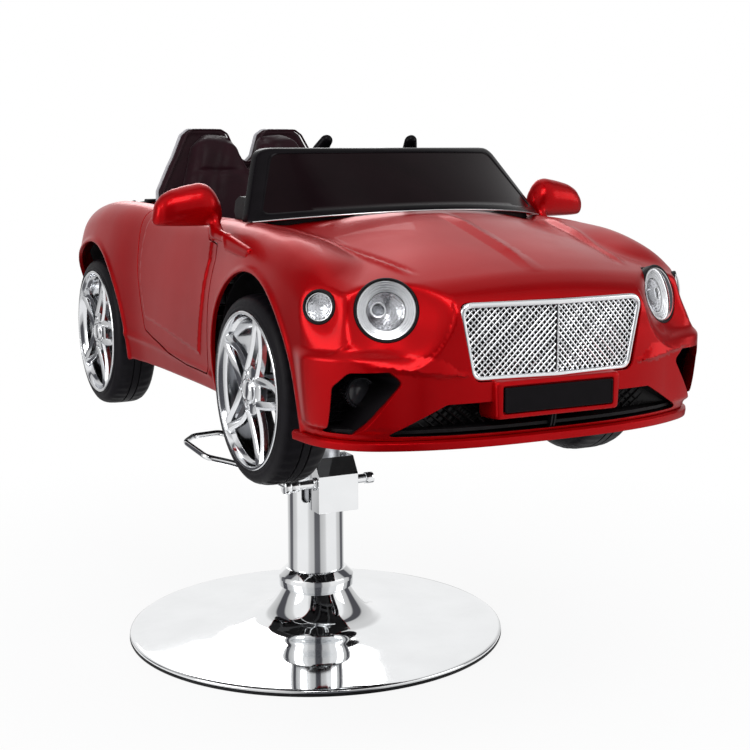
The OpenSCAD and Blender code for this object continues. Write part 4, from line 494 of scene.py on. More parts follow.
def surface_net(f, lo, hi, step, newton=3):
    """Quads of the zero level of f on a grid, with each point moved onto it."""
    lo = np.asarray(lo, float)
    n = np.ceil((np.asarray(hi, float) - lo) / step).astype(int) + 1
    ax = [lo[i] + step * np.arange(n[i]) for i in range(3)]
    g = np.broadcast_to(f(ax[0][:, None, None], ax[1][None, :, None], ax[2][None, None, :]),
                        tuple(n)).astype(np.float32)
    s = g < 0
    tot = sum(s[i:n[0] - 1 + i, j:n[1] - 1 + j, k:n[2] - 1 + k].astype(np.int8) for i in (0, 1) for j in (0, 1)
              for k in (0, 1))
    cell = (tot > 0) & (tot < 8)
    where = np.argwhere(cell)
    idx = -np.ones(tuple(n - 1), np.int64); idx[cell] = np.arange(len(where))
    acc, cnt = np.zeros((len(where), 3)), np.zeros(len(where))
    for a in range(3):
        for b in (0, 1):
            for c in (0, 1):
                o = [0, 0, 0]; o[(a + 1) % 3] = b; o[(a + 2) % 3] = c
                o2 = list(o); o2[a] = 1
                v0 = g[where[:, 0] + o[0], where[:, 1] + o[1], where[:, 2] + o[2]]
                v1 = g[where[:, 0] + o2[0], where[:, 1] + o2[1], where[:, 2] + o2[2]]
                m = (v0 < 0) != (v1 < 0)
                t = np.where(m, v0 / np.where(m, v0 - v1, 1), 0)
                p = np.tile(np.array(o, float), (len(where), 1)); p[:, a] = t
                acc += p * m[:, None]; cnt += m
    v = lo + (where + acc / cnt[:, None]) * step
    quads = []
    for a in range(3):
        b, c = (a + 1) % 3, (a + 2) % 3
        s0, s1 = [slice(1, -1)] * 3, [slice(1, -1)] * 3
        s0[a], s1[a] = slice(0, -1), slice(1, None)
        s0, s1 = s[tuple(s0)], s[tuple(s1)]
        e0 = np.argwhere(s0 != s1)
        off = [1, 1, 1]; off[a] = 0
        e = e0 + np.array(off)
        q = []
        for db, dc in ((1, 1), (0, 1), (0, 0), (1, 0)):
            w = e.copy(); w[:, b] -= db; w[:, c] -= dc
            q.append(idx[w[:, 0], w[:, 1], w[:, 2]])
        q = np.stack(q, 1)
        inside = s0[e0[:, 0], e0[:, 1], e0[:, 2]]
        q[~inside] = q[~inside][:, ::-1]
        quads.append(q)
    start = v.copy()
    for _ in range(newton):
        val = f(v[:, 0], v[:, 1], v[:, 2])
        gr = nearest_slope(f, v)
        v = v - (val / ((gr ** 2).sum(1) + 1e-9))[:, None] * gr
    d = v - start; far = np.linalg.norm(d, axis=1); too = far > step
    v[too] = start[too] + d[too] / far[too][:, None] * step
    return v, np.concatenate(quads)


def set_normals(ob, rules, near_by=1.3, agrees=0.55):
    """Custom normals from forms: rules are (f, level, sign).

    A rule is used where a corner lies on that level of f and its slope agrees with the face.
    """
    me = ob.data
    nv, nl, npoly = len(me.vertices), len(me.loops), len(me.polygons)
    co = np.zeros(nv * 3, np.float32); me.vertices.foreach_get("co", co)
    co = co.reshape(-1, 3).astype(float) * MM
    fn = np.zeros(npoly * 3, np.float32); me.polygons.foreach_get("normal", fn); fn = fn.reshape(-1, 3)
    lv = np.zeros(nl, np.int32); me.loops.foreach_get("vertex_index", lv)
    tot = np.zeros(npoly, np.int32); me.polygons.foreach_get("loop_total", tot)
    lp = np.repeat(np.arange(npoly), tot)
    out = fn[lp].copy()
    for f, level, sign in rules:
        val = f(co[:, 0], co[:, 1], co[:, 2]) - level
        near = np.abs(val) < near_by
        g = np.zeros_like(co)
        g[near] = nearest_slope(f, co[near]) * sign
        g /= np.linalg.norm(g, axis=1)[:, None] + 1e-9
        use = near[lv] & ((g[lv] * fn[lp]).sum(1) > agrees)
        out[use] = g[lv][use]
    me.polygons.foreach_set("use_smooth", np.ones(npoly, bool))
    me.normals_split_custom_set(out.tolist())


def knots(v, t):
    """Smooth curve through a table of (place, value) rows."""
    t = np.asarray(t, float)
    xs, ys = t[:, 0], t[:, 1]
    v = np.clip(v, xs[0], xs[-1])
    h = np.diff(xs); d = np.diff(ys) / h
    m = np.concatenate([[d[0]], (d[:-1] * h[1:] + d[1:] * h[:-1]) / (h[:-1] + h[1:]), [d[-1]]])
    i = np.clip(np.searchsorted(xs, v, side="right") - 1, 0, len(xs) - 2)
    s = (v - xs[i]) / h[i]
    return ((2 * s ** 3 - 3 * s ** 2 + 1) * ys[i] + (s ** 3 - 2 * s ** 2 + s) * h[i] * m[i]
            + (-2 * s ** 3 + 3 * s ** 2) * ys[i + 1] + (s ** 3 - s ** 2) * h[i] * m[i + 1])


def smax(a, b, k):
    h = np.clip(0.5 + 0.5 * (a - b) / k, 0, 1)
    return a * h + b * (1 - h) + k * h * (1 - h)


def smin(a, b, k):
    return -smax(-a, -b, k)


def step01(x, a, b):
    t = np.clip((x - a) / (b - a), 0, 1)
    return t * t * (3 - 2 * t)


# ---------------------------------------------------------------- the body's form, as in the CAD source
NOSE, LEN, SILL, HIGH, HALF = -672.0, 1150.0, 445.0, 253.0, 278.0
PLAN = [[-0.01, 0.95], [0.10, 0.975], [0.185, 0.995], [0.26, 0.99], [0.375, 0.95], [0.515, 0.942],
        [0.635, 0.95], [0.76, 1], [0.835, 1.005], [0.915, 0.97], [1, 0.85]]
RIDGE = [[-0.015, 0.597], [0, 0.648], [0.033, 0.711], [0.063, 0.759], [0.136, 0.854], [0.237, 0.96],
         [0.297, 0.992], [0.41, 1], [0.584, 0.996], [0.758, 1], [0.871, 0.984], [0.95, 0.913], [1, 0.83]]
FALL = [[-0.007, 0.055], [0.097, 0.079], [0.237, 0.119], [0.323, 0.103], [1, 0.063]]
FENDER = [[-0.015, 0.296], [0.037, 0.541], [0.071, 0.636], [0.097, 0.708], [0.123, 0.775], [0.158, 0.83],
          [0.193, 0.866], [0.237, 0.889], [0.297, 0.913], [0.41, 0.925], [0.532, 0.929], [0.637, 0.937],
          [0.741, 0.96], [0.828, 0.953], [0.897, 0.905], [0.958, 0.81], [1, 0.7]]
CROWN = [[-0.007, 0.773], [0.097, 0.799], [0.237, 0.835], [0.367, 0.849], [0.671, 0.849], [0.845, 0.835],
         [1, 0.719]]
NOSE_BACK = [[-0.178, 0.126], [-0.06, 0.063], [0.02, 0.032], [0.217, 0.004], [0.455, 0.004], [0.613, 0.016],
             [0.711, 0.067], [1.008, 0.285]]
TAIL_BACK = [[-0.178, 0.15], [0, 0.09], [0.296, 0.016], [0.613, 0], [0.85, 0.032], [1.008, 0.11]]


def by(s): return NOSE + LEN * s
def bz(s): return SILL + HIGH * s


def front_at(x, z):
    return NOSE + HIGH * knots((z - SILL) / HIGH, NOSE_BACK) + 58 * (x / (HALF * 0.9)) ** 3


def skin(x, y, z):
    """The body's outer form: negative inside. Sides, bonnet with wings, nose and tail, blended."""
    X = np.abs(x); u = (y - NOSE) / LEN
    low, high = np.maximum((560.1 - z) / 115.1, 0), np.maximum((z - 560.1) / 120.2, 0)
    side = X - (HALF * knots(u, PLAN) - 10 * low * low - 30 * high * high)
    rise = np.clip(np.minimum((y - by(0.041)) / 60, (by(0.241) - y) / 60), 0, 1)
    spine = 5 * rise * np.clip(1 - X / 15, 0, 1)
    hood = bz(knots(u, RIDGE)) - HIGH * knots(u, FALL) * (X / (HALF * 0.683)) ** 2 + spine
    fender = bz(knots(u, FENDER)) - 12 * ((X - HALF * knots(u, CROWN)) / 62) ** 2
    top = z - smax(hood, fender, 7)
    front = front_at(X, z) - y
    back = y - (NOSE + LEN - HIGH * knots((z - SILL) / HIGH, TAIL_BACK) - 40 * (X / (HALF * 0.863)) ** 2.6)
    return smax(smax(smax(side, front, 50), back, 80), top, 34)


def skin_at(x, y, z):
    return float(skin(*(np.array([c]) for c in (x, y, z)))[0])


def solid(x, y, z):
    return smax(skin(x, y, z), SILL - z, 3)


DOOR = np.array([[0.399, 0.083], [0.389, 0.292], [0.376, 0.569], [0.371, 0.72], [0.379, 0.794], [0.406, 0.814],
                 [0.4235, 0.866], [0.4365, 1.1], [0.671, 1.1], [0.669, 0.889], [0.652, 0.692], [0.637, 0.455],
                 [0.626, 0.213], [0.597, 0.174], [0.539, 0.119], [0.476, 0.087]])
DOOR = np.stack([by(DOOR[:, 0]), bz(DOOR[:, 1])], 1)
ARCH_Y, ARCH_Z, ARCH_R = (-386.0, 276.0), 474.0, 147.0
PANEL = np.array([[-186, 492], [-214, 566], [-226, 625], [-214, 652], [-176, 668], [70, 672], [62, 622],
                  [50, 560], [38, 520]], float)


def poly_dist(x, y, pts):
    """Signed distance to an outline, negative inside, on arrays."""
    x, y = np.broadcast_arrays(x, y)
    best = np.full(x.shape, 1e9); inside = np.zeros(x.shape, bool)
    k = len(pts)
    for i in range(k):
        ax, ay = pts[i]; bx, by_ = pts[(i + 1) % k]
        ex, ey = bx - ax, by_ - ay
        t = np.clip(((x - ax) * ex + (y - ay) * ey) / (ex * ex + ey * ey), 0, 1)
        best = np.minimum(best, np.hypot(x - ax - t * ex, y - ay - t * ey))
        if ay != by_:
            hit = (ay > y) != (by_ > y)
            inside ^= hit & (x < (bx - ax) * (y - ay) / (by_ - ay) + ax)
    return np.where(inside, -best, best)


def eased(d, X, y, z, inner=0.0):
    """Eases the form down to the rim of each lamp, so that the lamps stand clear from the side too."""
    for (at, (_, _, out)), r_ in ((HEAD, 37), (MARK, 20)):
        dx, dy, dz = X - at[0], y - at[1], z - at[2]
        h = dx * out[0] + dy * out[1] + dz * out[2]
        r = np.sqrt(np.maximum(dx * dx + dy * dy + dz * dz - h * h, 0))
        slope = 0.5 * np.maximum(r - r_, 0) + 1.2 * np.maximum(r - r_ - 36, 0)
        d = smax(d, h - 2.0 + inner - slope - 400 * step01(r, r_ + 60, r_ + 100), 11)
    return d


def inner_form(x, y, z):
    return eased(skin(x, y, z) + 4, np.abs(x), y, z, 4.0)


def detailed(x, y, z):
    """The skin with its arch lips, door panel, brow over the side intakes, hood creases and sill line."""
    X = np.abs(x)
    d = solid(x, y, z)
    d = eased(d, X, y, z)
    wide = step01(X, 205, 236)
    for ya in ARCH_Y:
        r = np.hypot(y - ya, z - ARCH_Z)
        d = d - wide * 2.2 * np.exp(-((r - 149.5) / 4.5) ** 2)
    pd = poly_dist(y, z, PANEL)
    d = d - step01(X, 215, 238) * 2.6 * step01(-pd, -2.0, 4.5)
    # sill line under the door, running back to the rear arch
    line = 470 + (y + 190) * 0.045
    along = step01(X, 215, 240) * step01(y, -232, -215) * step01(-y, -150, -120)
    d = d - along * 2.2 * np.exp(-((z - line) / 5.0) ** 2)
    # brow: a ledge that stands out over each side intake and fades towards its upper crease
    up = knots(X, [[100, 508], [122, 519], [140, 534], [185, 541], [240, 548], [285, 553]])
    lo = 519 + (X - 122) * 0.13
    t = (z - lo) / np.maximum(up - lo, 4)
    ledge = np.where(t > 0, np.clip(1 - t, 0, 1), np.clip(1 + t * 3.0, 0, 1))
    d = d - step01(-y, 545, 575) * step01(X, 112, 135) * 5.0 * ledge * step01(-X, -236, -180)
    # the frame round each side intake stands proud of the form above it
    d = d - 8.0 * step01(X, 170, 240) * step01(550 - z, 0, 13) * step01(-y, 525, 572) * step01(z, 452, 462)
    # crease pair on the hood, from the windscreen's corners to the headlamps
    hx = 206 + (y + 350) * 0.22
    on = step01(y, -600, -560) * step01(-y, 330, 372) * step01(z, 600, 625)
    d = d - on * (2.4 * np.exp(-((X - hx) / 4.5) ** 2) - 1.8 * np.exp(-((X - hx + 9) / 4.0) ** 2))
    return d


def cockpit_outline(grow=0.0):
    w, yb, r = 205 + grow, 319.3 + grow, 60 + grow
    pts = [(x, -398.3 + 110 * (x / 229.0) ** 2 + 14 - grow) for x in np.linspace(-w, w, 17)]
    pts += [(w - r + r * math.cos(a), yb - r + r * math.sin(a)) for a in np.radians(np.arange(0, 91, 7.5))]
    pts += [(-w + r + r * math.cos(a), yb - r + r * math.sin(a)) for a in np.radians(np.arange(90, 181, 7.5))]
    return np.array(pts)


INTAKE = np.array([[0.93, 0.25], [0.885, 0.318], [0.735, 0.32], [0.683, 0.27], [0.845, 0.03], [0.932, 0.03]])
LOWER = np.array([[0.75, 0.022], [0.505, 0.165], [-0.004, 0.17], [-0.004, 0.016]])
INTAKE = np.stack([HALF * INTAKE[:, 0], bz(INTAKE[:, 1])], 1)
LOWER = np.stack([HALF * LOWER[:, 0], bz(LOWER[:, 1])], 1)
GRILLE = np.array([[-110, 510.1], [110, 510.1], [128, 600.1], [-128, 600.1]], float)


def looking(turn, lift):
    t, l = math.radians(turn), math.radians(lift)
    return ((math.cos(t), math.sin(t), 0), (-math.sin(l) * math.sin(t), math.sin(l) * math.cos(t), math.cos(l)),
            (math.cos(l) * math.sin(t), -math.cos(l) * math.cos(t), math.sin(l)))


HEAD = ((191.8, -610, 591), looking(24, 14))
MARK = ((254.4, -566, 594), looking(47, 8))
TAIL = ((183.5, 456, 601.9), looking(158, 0))


def circle(x, y, r, n):
    a = np.arange(n) * 2 * math.pi / n
    return np.stack([x + r * np.cos(a), y + r * np.sin(a)], 1)


def round_rect(w, h, r, steps=6):
    return rounded([(-w / 2, -h / 2), (w / 2, -h / 2), (w / 2, h / 2), (-w / 2, h / 2)], r, steps)


# ---------------------------------------------------------------- red body and doors
STEP = 3.6
LO, HI = (-300, -700, 430), (300, 500, 716)
v, q = surface_net(detailed, LO, HI, STEP)
shell_src = piece("body_main", v, q, RED, None)
v, q = surface_net(lambda x, y, z: smax(inner_form(x, y, z), 430 - z, 2), (-300, -700, 415), HI, 7.5)
cut(shell_src, [(v, q)])

door_cut = rounded(DOOR, 9)
parts = [prism(cockpit_outline(), 560, 800, "z")]
for y in ARCH_Y:
    parts += side_prisms(circle(y, ARCH_Z, ARCH_R, 128), 150, 330)
MOUTHS = (rounded(INTAKE, [12, 9, 7, 7, 5, 6]), rounded(LOWER, [4, 12, 0.6, 0.6]))
for out in MOUTHS:
    parts += pair(prism(out, -705, -522, "y"))
parts.append(prism(rounded(GRILLE, 14), -705, -632, "y"))
for (at, ax), r, d in ((HEAD, 37.3, 34), (MARK, 20.3, 28)):
    parts += pair(placed(prism(circle(0, 0, r, 64), -d, 60, "z"), at, *ax))
parts += pair(placed(prism(round_rect(92.6, 44.6, 20), -34, 40, "z"), TAIL[0], *TAIL[1]))


def offset_outline(pts, d):
    """Moves an outline's points inwards along their averaged side normals."""
    p = np.asarray(pts, float)
    if area2(p) < 0:
        p = p[::-1]
    a, b = p - np.roll(p, 1, 0), np.roll(p, -1, 0) - p
    n1 = np.stack([-a[:, 1], a[:, 0]], 1) / (np.linalg.norm(a, axis=1)[:, None] + 1e-9)
    n2 = np.stack([-b[:, 1], b[:, 0]], 1) / (np.linalg.norm(b, axis=1)[:, None] + 1e-9)
    n = n1 + n2
    n /= np.linalg.norm(n, axis=1)[:, None] + 1e-9
    k = 1 / np.clip((n * n1).sum(1), 0.5, 1)
    return p + n * (d * k)[:, None]


door_in = offset_outline(door_cut, 2.6)
RULES = [(detailed, 0, 1), (inner_form, 0, -1)]
for k, label in enumerate(("left", "right")):
    door = copy_of(shell_src, "door_panel_" + label)
    cut(door, [side_prisms(door_in, 205.5, 330)[k]], "INTERSECT")
    set_normals(door, RULES)
    attach(door, "door_" + label, ["door_skin_" + label])
cut(shell_src, parts + side_prisms(door_cut, 203, 330))
set_normals(shell_src, RULES)
attach(shell_src, "car", ["body_shell"])

# ---------------------------------------------------------------- nose: ducts, lattice, grille, plate, splitter
def bars(outline, pitch, angles, place, radius, depth=0.8, margin=0.0, sides=6):
    """Round bars that cross a convex outline; place turns outline points and a height into space."""
    parts = []
    c = np.mean(outline, 0)
    for k, ang in enumerate(angles):
        t = np.array([math.cos(math.radians(ang)), math.sin(math.radians(ang))])
        nrm = np.array([-t[1], t[0]])
        far = max(abs((p - c) @ nrm) for p in outline)
        m = int(far / pitch) + 1
        for j in range(-m, m + 1):
            o = c + nrm * (j + 0.5) * pitch
            lo, hi = -1e9, 1e9
            n = len(outline)
            for i in range(n):
                a, b = outline[i], outline[(i + 1) % n]
                e = np.array([-(b - a)[1], (b - a)[0]])
                d, s = t @ e, (a - o) @ e
                if abs(d) < 1e-9:
                    if s > 0:
                        lo, hi = 1, 0
                    continue
                if d > 0:
                    lo = max(lo, s / d)
                else:
                    hi = min(hi, s / d)
            if hi - lo < radius * 3:
                continue
            lift = (k - 0.5) * radius * depth
            pts = [place(o + t * along, lift) for along in (lo - margin, (lo + hi) / 2, hi + margin)]
            parts.append(tube(pts, radius, sides, up=(0, -1, 0)))
    return join(*parts)


def ccw(p):
    p = np.asarray(p, float)
    return p if area2(p) > 0 else p[::-1]


duct_parts, wall = [], 2.2


def swept(p, h):
    """Point of the lower opening's net, which follows the nose's sweep."""
    return (p[0], h - 631 + 29 * (p[0] / 250.2) ** 3, p[1])


def nose_inside(x, y, z):
    return smax(smax(smax(skin(x, y, z) + 1.6, 446 - z, 2), y + 510, 2), z - 606, 2)


inner_skin = surface_net(nose_inside, (-290, -700, 430), (290, -490, 620), 6.0)
for out, face, pitch, ang in ((MOUTHS[0], -556, 11.0, (30, 90, 150)), (MOUTHS[1], -628, 8.0, (38, 142))):
    out = ccw(out)
    duct = piece("duct", *prism(offset_outline(out, -wall), -700, face + 6, "y"), INSERT, None)
    cut(duct, [prism(out, -705, face + 3, "y")])
    cut(duct, [inner_skin], "INTERSECT")
    duct_parts.append(both(taken(duct)))
    if face > -600:
        nets = [bars(out, pitch, (one,), lambda p, h: (p[0], face - 2.5 + h, p[1]), 1.25, 0.8, 1.0, 5)
                for one in ang]
        duct_parts.append(both(join(*nets)))
        # slanted ribs that lean back from the duct's mouth
        for zc in np.arange(452, 528, 10.5):
            xs = []
            for i in range(len(out)):
                p, r = out[i], out[(i + 1) % len(out)]
                if (p[1] - zc) * (r[1] - zc) < 0:
                    xs.append(p[0] + (r[0] - p[0]) * (zc - p[1]) / (r[1] - p[1]))
            if len(xs) == 2:
                x0, x1 = sorted(xs)
                fin = [(x0 + 1, face - 14, zc), ((x0 + x1) / 2, face - 15, zc + 0.6), (x1 - 1, face - 6, zc)]
                duct_parts.append(both(tube(fin, 4.2, 4, flat=0.22)))
    else:
        duct_parts.append(both(bars(out, pitch, ang, swept, 1.15, 0.9, 1.0, 5)))
piece("bumper_grilles", *join(*duct_parts), INSERT, "car", ["bumper_meshes"], 30)

fog = revolve([(0, 8.2), (6, 8.0), (11, 6.6), (14, 4.2), (15.2, 3.4), (16.2, 5.2), (17.6, 5.6), (18.6, 4.2),
               (18.8, 0), (18, -14), (0, -14)], 48)
fog_ring = placed(fog, (209, -576, 494), (1, 0, 0), (0, 0, 1), (0, -1, 0))
piece("fog_lamp_pair", *both(fog_ring), FOG, "car", ["fog_lamps"], 40)

GY, TURN = front_at(0, 600.0) - 1.0, math.radians(4.9)


def grille_place(p, h):
    return (p[0] * math.cos(TURN) + h * math.sin(TURN), GY + p[0] * math.sin(TURN) - h * math.cos(TURN), p[1])


half = ccw([(-1.8, 510.4), (109.7, 510.4), (127.4, 599.8), (-1.8, 599.8)])
lattice = bars(offset_outline(half, 3.2), 5.35, (45, 135), grille_place, 1.12, 1.0, 1.5, 6)
lattice = moved(lattice, (-1.2 * math.sin(TURN), 1.2 * math.cos(TURN), 0))
piece("grille_lattice", *both(lattice), PLATED, "car", ["grille_mesh"], 60)
rim_line = rounded(ccw([(-107.5, 513), (107.5, 513), (124.6, 597.2), (-124.6, 597.2)]), 13, 8)


def bent(p):
    s = 1 if p[0] >= 0 else -1
    x, y, z = grille_place((abs(p[0]), p[1]), 0.6)
    return (s * x, y, z)


surround = tube([bent(p) for p in filled(9, rim_line)[0]], 3.4, 14, closed=True, up=(0, -1, 0))
divider = tube([(0, GY - 1.0, 512), (0, GY - 1.6, 530), (0, GY - 1.6, 580), (0, GY - 1.0, 599)],
               [0.9, 1.0, 1.0, 0.9], 8, up=(0, -1, 0))
# black rod just behind the divider: a painted shadow line along the gap between the lattice halves
divider_painted_shadow = tube([(0, GY + 1.4, 512), (0, GY + 1.2, 599)], 2.2, 8, up=(0, -1, 0))
piece("grille_surround", *join(surround, divider), PLATED, "car", ["grille_frame"], 60)
half_back = rounded(ccw([(0, 511), (108.5, 511), (126, 599), (0, 599)]), [0.5, 8, 8, 0.5])
back = stacked([[grille_place(p, h) for p in half_back] for h in (-7.5, -11)])
# the black backing plate and the divider's painted shadow rod, as one piece
piece("grille_back", *join(both(back), divider_painted_shadow), BLACK, "car", ["grille_backing"], 40)

# plate, its block and the splitter
PLATE_Z = 488.5


def upright(outline, y):
    """An X, Z outline at a depth y."""
    return np.column_stack([outline[:, 0], np.full(len(outline), float(y)), outline[:, 1]])


def plate_form(rows):
    """Closed form round the plate's middle: rows are (y, width, height, corner radius, lean of the ends)."""
    rings = []
    for y, w, h, r, lean in rows:
        lo, hi = PLATE_Z - h / 2, PLATE_Z + h / 2
        corners = [(-w / 2 + lean, lo), (w / 2 - lean, lo), (w / 2, hi), (-w / 2, hi)]
        rings.append(upright(rounded(corners, r, 5), y))
    return stacked(rings)


block = plate_form([(-640, 178, 48, 7, 3), (-662, 176, 46, 7, 3), (-672.5, 173, 44, 6, 2),
                    (-675, 171.4, 42.6, 5.4, 2), (-676, 168.5, 40, 4.5, 2), (-676, 154, 33, 3, 0),
                    (-675, 152.6, 31.6, 2.6, 0), (-672, 152.4, 31.4, 2.6, 0)])


def nose_edge(n, out):
    """Points round the nose's lower edge, from side to side."""
    pts = []
    for a in np.radians(np.linspace(-82, 82, n)):
        o, d = np.array([0, -480.0]), np.array([math.sin(a), -math.cos(a)])
        pts.append(o + d * reach(lambda m: skin_at(*(o + d * m), 446.0) < out, 0.0, 400.0, 26))
    return np.array(pts)


AROUND = 97
LIP = ((-6, 445.6), (1.5, 445.2), (4.6, 443.2), (5.0, 440.2), (4.2, 434.6), (-6, 434.2))
sp = np.concatenate([np.column_stack([nose_edge(AROUND, out), np.full(AROUND, z)]) for out, z in LIP])
sf = [(i * AROUND + j, i * AROUND + j + 1, (i + 1) % len(LIP) * AROUND + j + 1, (i + 1) % len(LIP) * AROUND + j)
      for i in range(len(LIP)) for j in range(AROUND - 1)]
sf += [tuple(i * AROUND for i in range(len(LIP))),
       tuple(i * AROUND + AROUND - 1 for i in reversed(range(len(LIP))))]
piece("front_splitter", *join(block, orient(sp, sf)), RED, "car", ["front_bumper"], 40)
plate = plate_form([(-673, 150, 29, 2.4, 0), (-677, 150, 29, 2.4, 0), (-677.8, 148.6, 27.6, 2.2, 0),
                    (-677.8, 145.6, 24.6, 2, 0), (-677.2, 144.6, 23.6, 2, 0), (-677.2, 60, 8, 1, 0)])
piece("bare_plate", *plate, GLOSS, "car", ["number_plate"], 40)

# ---------------------------------------------------------------- lamps
def dome(r, rise, base, n=48, rings=10):
    prof = [(r * math.sin(t), base + rise * math.cos(t)) for t in np.linspace(0.001, math.pi / 2, rings)]
    return revolve([(0, base + rise)] + prof[1:] + [(r, base - 1.2), (0, base - 1.2)], n)


def facets(r, z0, z1, n, rings):
    """Bowl of flat kites, each one tilted a little."""
    verts, faces = [], []
    for i in range(rings):
        for j in range(n):
            for di, dj in ((0, 0), (1, 0), (1, 1), (0, 1)):
                rr = r * (i + di) / rings
                a = 2 * math.pi * (j + dj + 0.5 * (i % 2)) / n
                zz = z0 + (z1 - z0) * ((i + di) / rings) ** 1.6
                verts.append((rr * math.cos(a), rr * math.sin(a), zz + (0.9 if di == dj else -0.5)))
            k = len(verts)
            faces.append((k - 4, k - 3, k - 2, k - 1))
    return np.array(verts), faces


gask, rings_, glass_, cut_ = [], [], [], []
for (at, ax), big in ((HEAD, 1.0), (MARK, 0)):
    R = 37.0 if big else 20.0
    edge_ = [(R - 0.2, -8), (R + 0.3, 0.6), (R - 0.3, 1.9), (R - 1.6, 2.2), (R - 3.4, 0.6), (R - 3.6, -4),
             (R - 2, -8)]
    gask.append(placed(revolve(edge_, 72, True), at, *ax))
    foot, floor_ = (-26, -22) if big else (-13, -11)
    body_ = [(0, foot), (R - 4, foot), (R - 1.5, -6), (R - 1.5, -3), (R - 3, -3), (R - 5, floor_), (0, floor_)]
    gask.append(placed(revolve(body_, 48), at, *ax))
    if big:
        prof = [(33.6, 0.9)]
        z, r = 0.9, 33.6
        for _ in range(4):
            prof += [(r - 0.4, z + 0.25), (r - 2.3, z - 0.55), (r - 2.6, z - 1.3)]
            r, z = prof[-1]
        prof += [(r - 0.6, z), (r - 1.2, z - 2.0), (21.0, -18), (34.5, -18), (34.6, 0)]
        rings_.append(placed(revolve(prof, 72, True), at, *ax))
        cut_.append(placed(facets(21.8, -16, -5.5, 22, 6), at, *ax))
        barrel = revolve([(7.2, -18), (7.2, -3.6), (8.6, -3.2), (9.4, -3.8), (9.6, -18)], 32, True)
        o = (9.0, 1.0, 0.0)
        rings_.append(placed(moved(barrel, o), at, *ax))
        glass_.append(placed(moved(dome(7.1, 4.2, -6.4, 32, 8), o), at, *ax))
    else:
        cut_.append(placed(facets(16.2, -6.5, -1.2, 16, 5), at, *ax))
        rings_.append(placed(revolve([(16.6, 0.8), (16.0, 1.5), (15.2, 1.2), (14.9, -3), (16.6, -4)], 48, True),
                             at, *ax))
    g = dome(R - 3.5, 6.2 if big else 4.4, 1.4 if big else 0.8, 64, 12)
    glass_.append(placed(g, at, *ax))
piece("lamp_gaskets", *both(join(*gask)), BLACK, "car", ["lamp_housings"], 40)
piece("lamp_rings", *both(join(*rings_)), SATIN, "car", ["lamp_bezels"], 40)
piece("lamp_reflectors", *both(join(*cut_)), CRYSTAL, "car", smooth=5)
piece("lamp_glass", *both(join(*glass_)), LENS, "car", ["lamp_lenses"], 50)

tl = []
outer_line = round_rect(92, 44, 20, 8)
for z, g in ((-10, 0), (2.6, 0), (4.2, -0.8), (4.8, -2.4), (3.0, -4.6), (2.6, -5.4)):
    o = offset_outline(outer_line, -g)
    tl.append(np.column_stack([o, np.full(len(o), z)]))
for z, g in ((2.6, -6.0), (4.4, -8.5), (6.0, -13), (6.8, -19)):
    o = offset_outline(outer_line, -g) if g > -10 else outer_line * np.array([1 + g / 46, 1 + g / 22])
    tl.append(np.column_stack([o, np.full(len(o), z)]))
piece("rear_lamps", *both(placed(stacked(tl), TAIL[0], *TAIL[1])), REDLENS, "car", ["tail_lamps"], 45)

# ---------------------------------------------------------------- windscreen
FOOT_W, TOP_W, SH = 229.0, 182.9, math.hypot(81.1, 116.1)  # half widths and height along the screen


def screen_point(s, t, back=0.0):
    foot = np.array([FOOT_W * s, -398.3 + 110 * s * s, 690.9 - 16 * s * s])
    top = np.array([TOP_W * s, -282.15 + 63 * s * s, 772.0])
    return foot + (top - foot) * t + np.array([0, back, 0])


def screen_at(a, b, back):
    return screen_point(a / (FOOT_W + (TOP_W - FOOT_W) * b / SH), b / SH, back)


outer = rounded([(-FOOT_W, 0), (FOOT_W, 0), (TOP_W, SH), (-TOP_W, SH)], [5, 5, 26, 26], 8)
inner = rounded([(-208, 14.5), (208, 14.5), (168.5, SH - 12.5), (-168.5, SH - 12.5)], [9, 9, 18, 18], 8)
sect = []
for o, i_ in zip(*filled(14, outer, inner)):
    side_ = step01(abs(o[0]) - (FOOT_W + (TOP_W - FOOT_W) * o[1] / SH), -26, -6)
    deep = 7.0 + 10.0 * float(side_)
    loop = [(0.04, 2.2), (0.12, 0.4), (0.3, -0.2), (0.72, -0.2), (0.9, 0.4), (1.0, 2.0), (1.0, deep - 2),
            (0.9, deep - 0.5), (0.1, deep - 0.5), (0.0, deep - 2)]
    for u, dpt in loop:
        sect.append(screen_at(*(o + (i_ - o) * u), dpt))
piece("windscreen_surround", *orient(np.array(sect), grid_faces(len(sect) // len(loop), len(loop), True, True)),
      GLOSS, "car", ["windscreen_frame"], 50)
edge_line = [screen_at(x_, 0.5, 1.0) + np.array([0, -1.2, 0.3]) for x_ in np.linspace(-222, 222, 61)]
piece("windscreen_foot_bead", *tube(edge_line, 0.9, 8), SATIN, "car")
n_, m_ = 41, 13
pts = []
for back in (1.6, 4.6):
    for i in range(n_):
        for j in range(m_):
            b = 10 + (SH - 19) * j / (m_ - 1)
            w_ = 213 - 41.5 * b / SH
            pts.append(screen_at(-w_ + 2 * w_ * i / (n_ - 1), b, back))
g0 = grid_faces(n_, m_)
k = n_ * m_
edge = [i * m_ for i in range(n_)] + [(n_ - 1) * m_ + j for j in range(1, m_)]
edge += [i * m_ + m_ - 1 for i in range(n_ - 2, -1, -1)] + list(range(m_ - 2, 0, -1))
fs = g0 + [tuple(k + q for q in reversed(f_)) for f_ in g0]
fs += [(a, b, k + b, k + a) for a, b in zip(edge, edge[1:] + edge[:1])]
piece("windscreen_glass", *orient(np.array(pts), fs), TINT, "car", ["windscreen_pane"], 40)

# ---------------------------------------------------------------- mirrors
HEADS = [[0, 0.16], [0.03, 0.46], [0.09, 0.72], [0.18, 0.92], [0.29, 1], [0.45, 0.97], [0.62, 0.9], [0.78, 0.8],
         [0.9, 0.63], [0.97, 0.4], [1, 0.16]]


